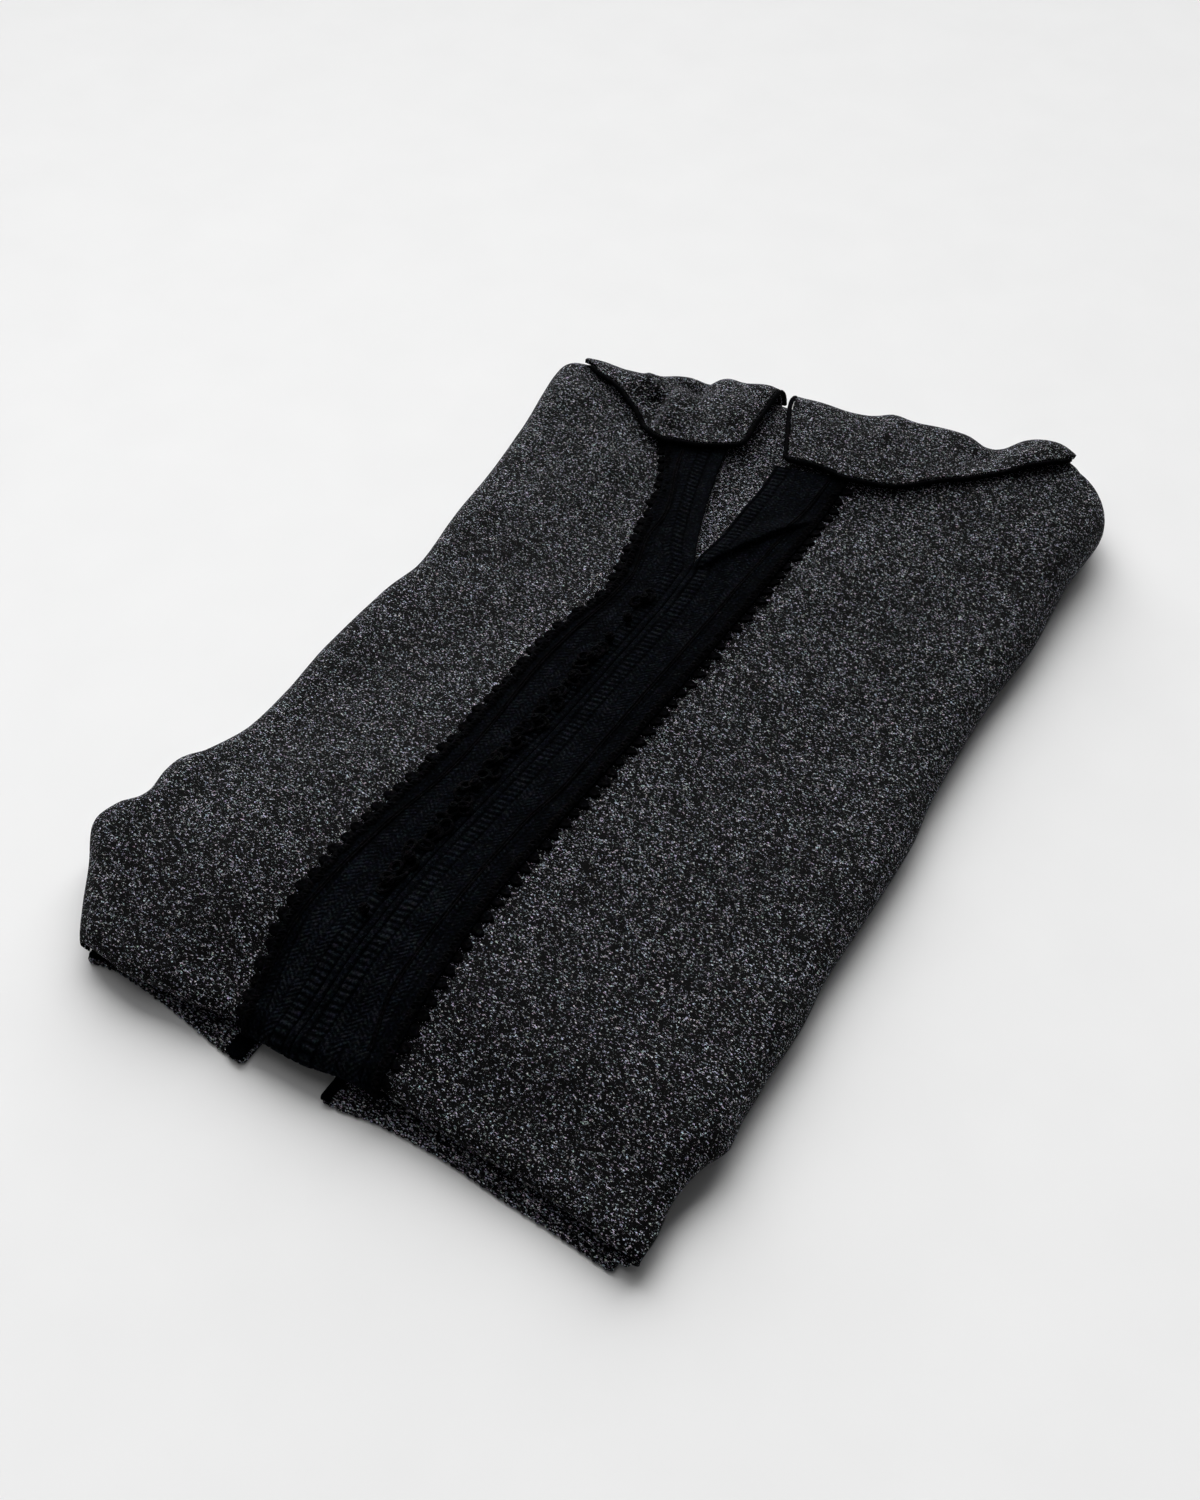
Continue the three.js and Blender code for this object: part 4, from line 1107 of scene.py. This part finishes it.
def hood_lift(x, y, fall):
    """Height of the hood's underside over the face: raised on the trim, with soft puffs."""
    on_trim = ease((x + 88) / 14) * ease((62 - x) / 18)
    settle = lerp(lerp(HOOD_REST, HOOD_LIFT, on_trim), HOOD_REST, ease(fall))
    puff = fold_height(HOOD_FOLDS, x, y) * np.where(fall <= 1, 1, 2 - fall)
    return np.maximum(settle + puff, HOOD_LEAST)


def hood_half(side):
    """Wall of a hood half, with the points and normals of its middle."""
    u, v, fall = hood_lines(side)
    base, normals = on_face(u, v)
    lift = hood_lift(base[..., 0], base[..., 1], fall)
    levels = (0, CLOTH / 2, CLOTH)
    inner, middle, outer = (base + normals * (lift + level)[..., None] for level in levels)
    return shell(outer, inner), middle, normals


def piping(side, middle, normals):
    """Black cord round the free edges of a hood half."""
    away = 1 if side == "left" else -1
    grids = middle[::away], normals[::away]
    path, ups = (np.concatenate([grid[:, 0], grid[-1, 1:PIPING_DOWN]]) for grid in grids)
    along = unit(np.gradient(path, axis=0))
    path = path + away * unit(np.cross(along, ups)) * (CORD_R + SEAM) * 1.05
    for _ in range(3):
        path[1:-1] = (path[:-2] + 2 * path[1:-1] + path[2:]) / 4
    run = lengths(path)
    even = np.arange(PIPING_START, run[-1], PIPING_STEP)

    def evenly(points):
        return np.stack([np.interp(even, run, axis) for axis in points.T], -1)

    path, ups = evenly(path), evenly(ups)
    # The cord starts thin and low, where it comes out of the seam.
    start = 0.35 + 0.65 * ease((even - PIPING_START) / 5)
    path = path - unit(ups) * (1.2 * (1 - ease((even - PIPING_START) / 6)))[:, None]
    radius = CORD_R * start * (1 + 0.04 * np.sin(TURN * even / 3.2))
    return tube(path, ups, radius, PIPING_SIDES)


for side in SIDES:
    form, *seam = hood_half(side)
    make(f"hood_{side}_cloth", form, MARL, [f"hood_{side}"])
    cord = piping(side, *seam)
    make(f"hood_{side}_piping", cord, BLACK_CORD, [f"hood_piping_{side}"])


# ---- skirt hems
def hem(edge, depth, under, thickness, step=0.8, rounded=2.4):
    """Folded hem: flat strip with a rounded, slightly uneven front edge, swept across."""
    line = curve(edge)
    first, last = edge[0][0], edge[-1][0]
    steps = np.linspace(first, last, max(round((last - first) / step), 2) + 1)
    ends = rounded * (1 - np.cos(np.linspace(0, np.pi / 2, 7)))
    x = np.unique(np.concatenate([steps, first + ends, last - ends]).round(4))
    near = np.clip(np.minimum(x - first, last - x), 0, rounded)
    pulled = rounded - np.sqrt(np.clip(rounded**2 - (rounded - near) ** 2, 0, None))
    uneven = 0.3 * np.sin(1.35 * x) * np.sin(0.37 * x + 1) + 0.2 * np.sin(2.2 * x + under)
    front = line(x) + pulled + uneven
    half = thickness / 2
    turn = np.radians(np.linspace(90, 270, 9))
    back = np.linspace(depth, thickness, 10)
    profile = [(y, thickness) for y in back]
    profile += [(half + half * math.cos(t), half + half * math.sin(t)) for t in turn]
    profile += [(y, 0) for y in back[::-1]]
    points = np.zeros((len(x), len(profile), 3))
    points[..., 0] = x[:, None]
    for k, (y, z) in enumerate(profile):
        share = 1 - max(y - half, 0) / (depth - half)
        points[:, k, 1] = y + share * front
        points[:, k, 2] = under + z
    return points.reshape(-1, 3), capped_rings(len(x), len(profile))


def braid_edge(edge, start, end, count):
    """Front edge of a braid that follows an edge between two places."""
    line = curve(edge)
    return [[x, line(x)] for x in np.linspace(start, end, count)]


# The hems' wool is brightened: painted light where the fold above shades them.
for name, row in SKIRTS.items():
    form = hem(row["edge"], row["depth"], row["under"], HEM)
    make(f"{name}_hem", form, HEM_WOOL_PAINTED_LIGHT, [name])
for name, (start, end, on) in SKIRT_BRAIDS.items():
    edge = braid_edge(SKIRTS[on]["edge"], start, end, 5)
    form = hem(edge, HEM_BRAID_DEPTH, HEM + SEAM, HEM_BRAID, 0.6, 1.0)
    make(f"{name}_strip", form, BLACK_BRAID, [name])
turned_in = braid_edge(TURNED_BRAID, TURNED_BRAID[0][0], TURNED_BRAID[-1][0], 9)
form = hem(turned_in, 12.0, HEM + SEAM, 1.8, 0.8, 1.5)
make("skirt_left_turned_braid", form, BLACK_BRAID)


# ---- the cut of the cloth that shows
def trim(side):
    return [f"trim_{side}_{part}" for part in ("braid", "points", "chain", "cords")]


# Width and length in metres, flat area where the cut isn't a rectangle, what it lies on, and
# the pieces sewn on it.
LAYERS = ["folded_layers"]
KNOTTED = [*(f"{node}_cord" for node in KNOTS), "knot_loops"]
TURNED = ["skirt_braid_left_strip", "skirt_left_turned_braid"]
UNDER_HOOD = {side: [f"front_{side}_cloth", f"trim_{side}_braid"] for side in SIDES}
SHEETS = {
    "front_left_cloth": ((0.17, 0.49), None, LAYERS, trim("left") + KNOTTED),
    "front_right_cloth": ((0.2, 0.52), None, LAYERS, trim("right")),
    "neck_cloth": ((0.062, 0.2), None, LAYERS, []),
    "hood_left_cloth": ((0.11, 0.07), 0.006, UNDER_HOOD["left"], ["hood_left_piping"]),
    "hood_right_cloth": ((0.17, 0.08), 0.010, UNDER_HOOD["right"], ["hood_right_piping"]),
    "skirt_left_hem": ((0.087, 0.037), None, ["floor"], TURNED),
    "skirt_right_lower_hem": ((0.134, 0.037), None, ["floor"], ["skirt_braid_right_strip"]),
    "skirt_right_upper_hem": ((0.098, 0.028), None, ["skirt_right_lower_hem"], []),
}
for name, (flat, area, rests_on, sewn) in SHEETS.items():
    pieces = [MADE[piece] for piece in sewn]
    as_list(rests_on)


# ---- floor, light and camera
SUN = {"from": [-0.6, 0.95, 0.55], "power": 5.95, "spread": 70}
SOFTBOX = {"at": [-0.35, -0.05, 0.95], "power": 1.9, "size": 0.9}
SURROUND = 0.1  # strength of the even light from all sides
CAMERA = {"lens": 41.7, "elevation": 47.85, "azimuth": 32.2, "distance": 0.79875}
TARGET = np.array([0.003465, -0.035202, 0.0])
FLOOR_HALF = 5.0


def stage_floor():
    signs = ((-1, -1), (1, -1), (1, 1), (-1, 1))
    corners = [(x * FLOOR_HALF, y * FLOOR_HALF, 0) for x, y in signs]
    mesh = bpy.data.meshes.new("floor")
    mesh.from_pydata(corners, [], [[0, 1, 2, 3]])
    g = Graph("pale_floor")
    grain = g.noise(g.millimetres(), 0.02)
    colour = g.ramp(grain, [(0.3, 0.795), (0.7, 0.81)])
    shader = {"Base Color": colour, "Roughness": 0.9, "Specular IOR Level": 0.1}
    mesh.materials.append(g.finish(shader))
    floor = stand("floor", mesh)


def lamp(name, kind, power, at):
    """A light at a place, aimed at the middle of the stack."""
    light = bpy.data.lights.new(name, kind)
    light.energy = power
    lit = stand(name, light)
    lit.location = at
    lit.rotation_euler = Vector([-c for c in at]).to_track_quat("-Z", "Y").to_euler()
    return light


stage_floor()
lamp("key", "SUN", SUN["power"], SUN["from"]).angle = math.radians(SUN["spread"])
softbox = lamp("softbox", "AREA", SOFTBOX["power"], SOFTBOX["at"])
softbox.shape, softbox.size = "DISK", SOFTBOX["size"]
world = bpy.data.worlds.new("studio")
world.use_nodes = True
backdrop = world.node_tree.nodes["Background"].inputs
backdrop["Color"].default_value = WHITE
backdrop["Strength"].default_value = SURROUND
scene.world = world
scene.view_settings.view_transform = "Standard"
scene.view_settings.look = "None"

lens = bpy.data.cameras.new("camera")
lens.lens = CAMERA["lens"]
lens.clip_start = 0.01
camera = stand("camera", lens)
turn, tilt = math.radians(CAMERA["azimuth"]), math.radians(CAMERA["elevation"])
level = math.cos(tilt)
back = np.array([math.sin(turn) * level, -math.cos(turn) * level, math.sin(tilt)])
camera.location = TARGET + back * CAMERA["distance"]
camera.rotation_euler = (math.pi / 2 - tilt, 0, turn)
scene.camera = camera
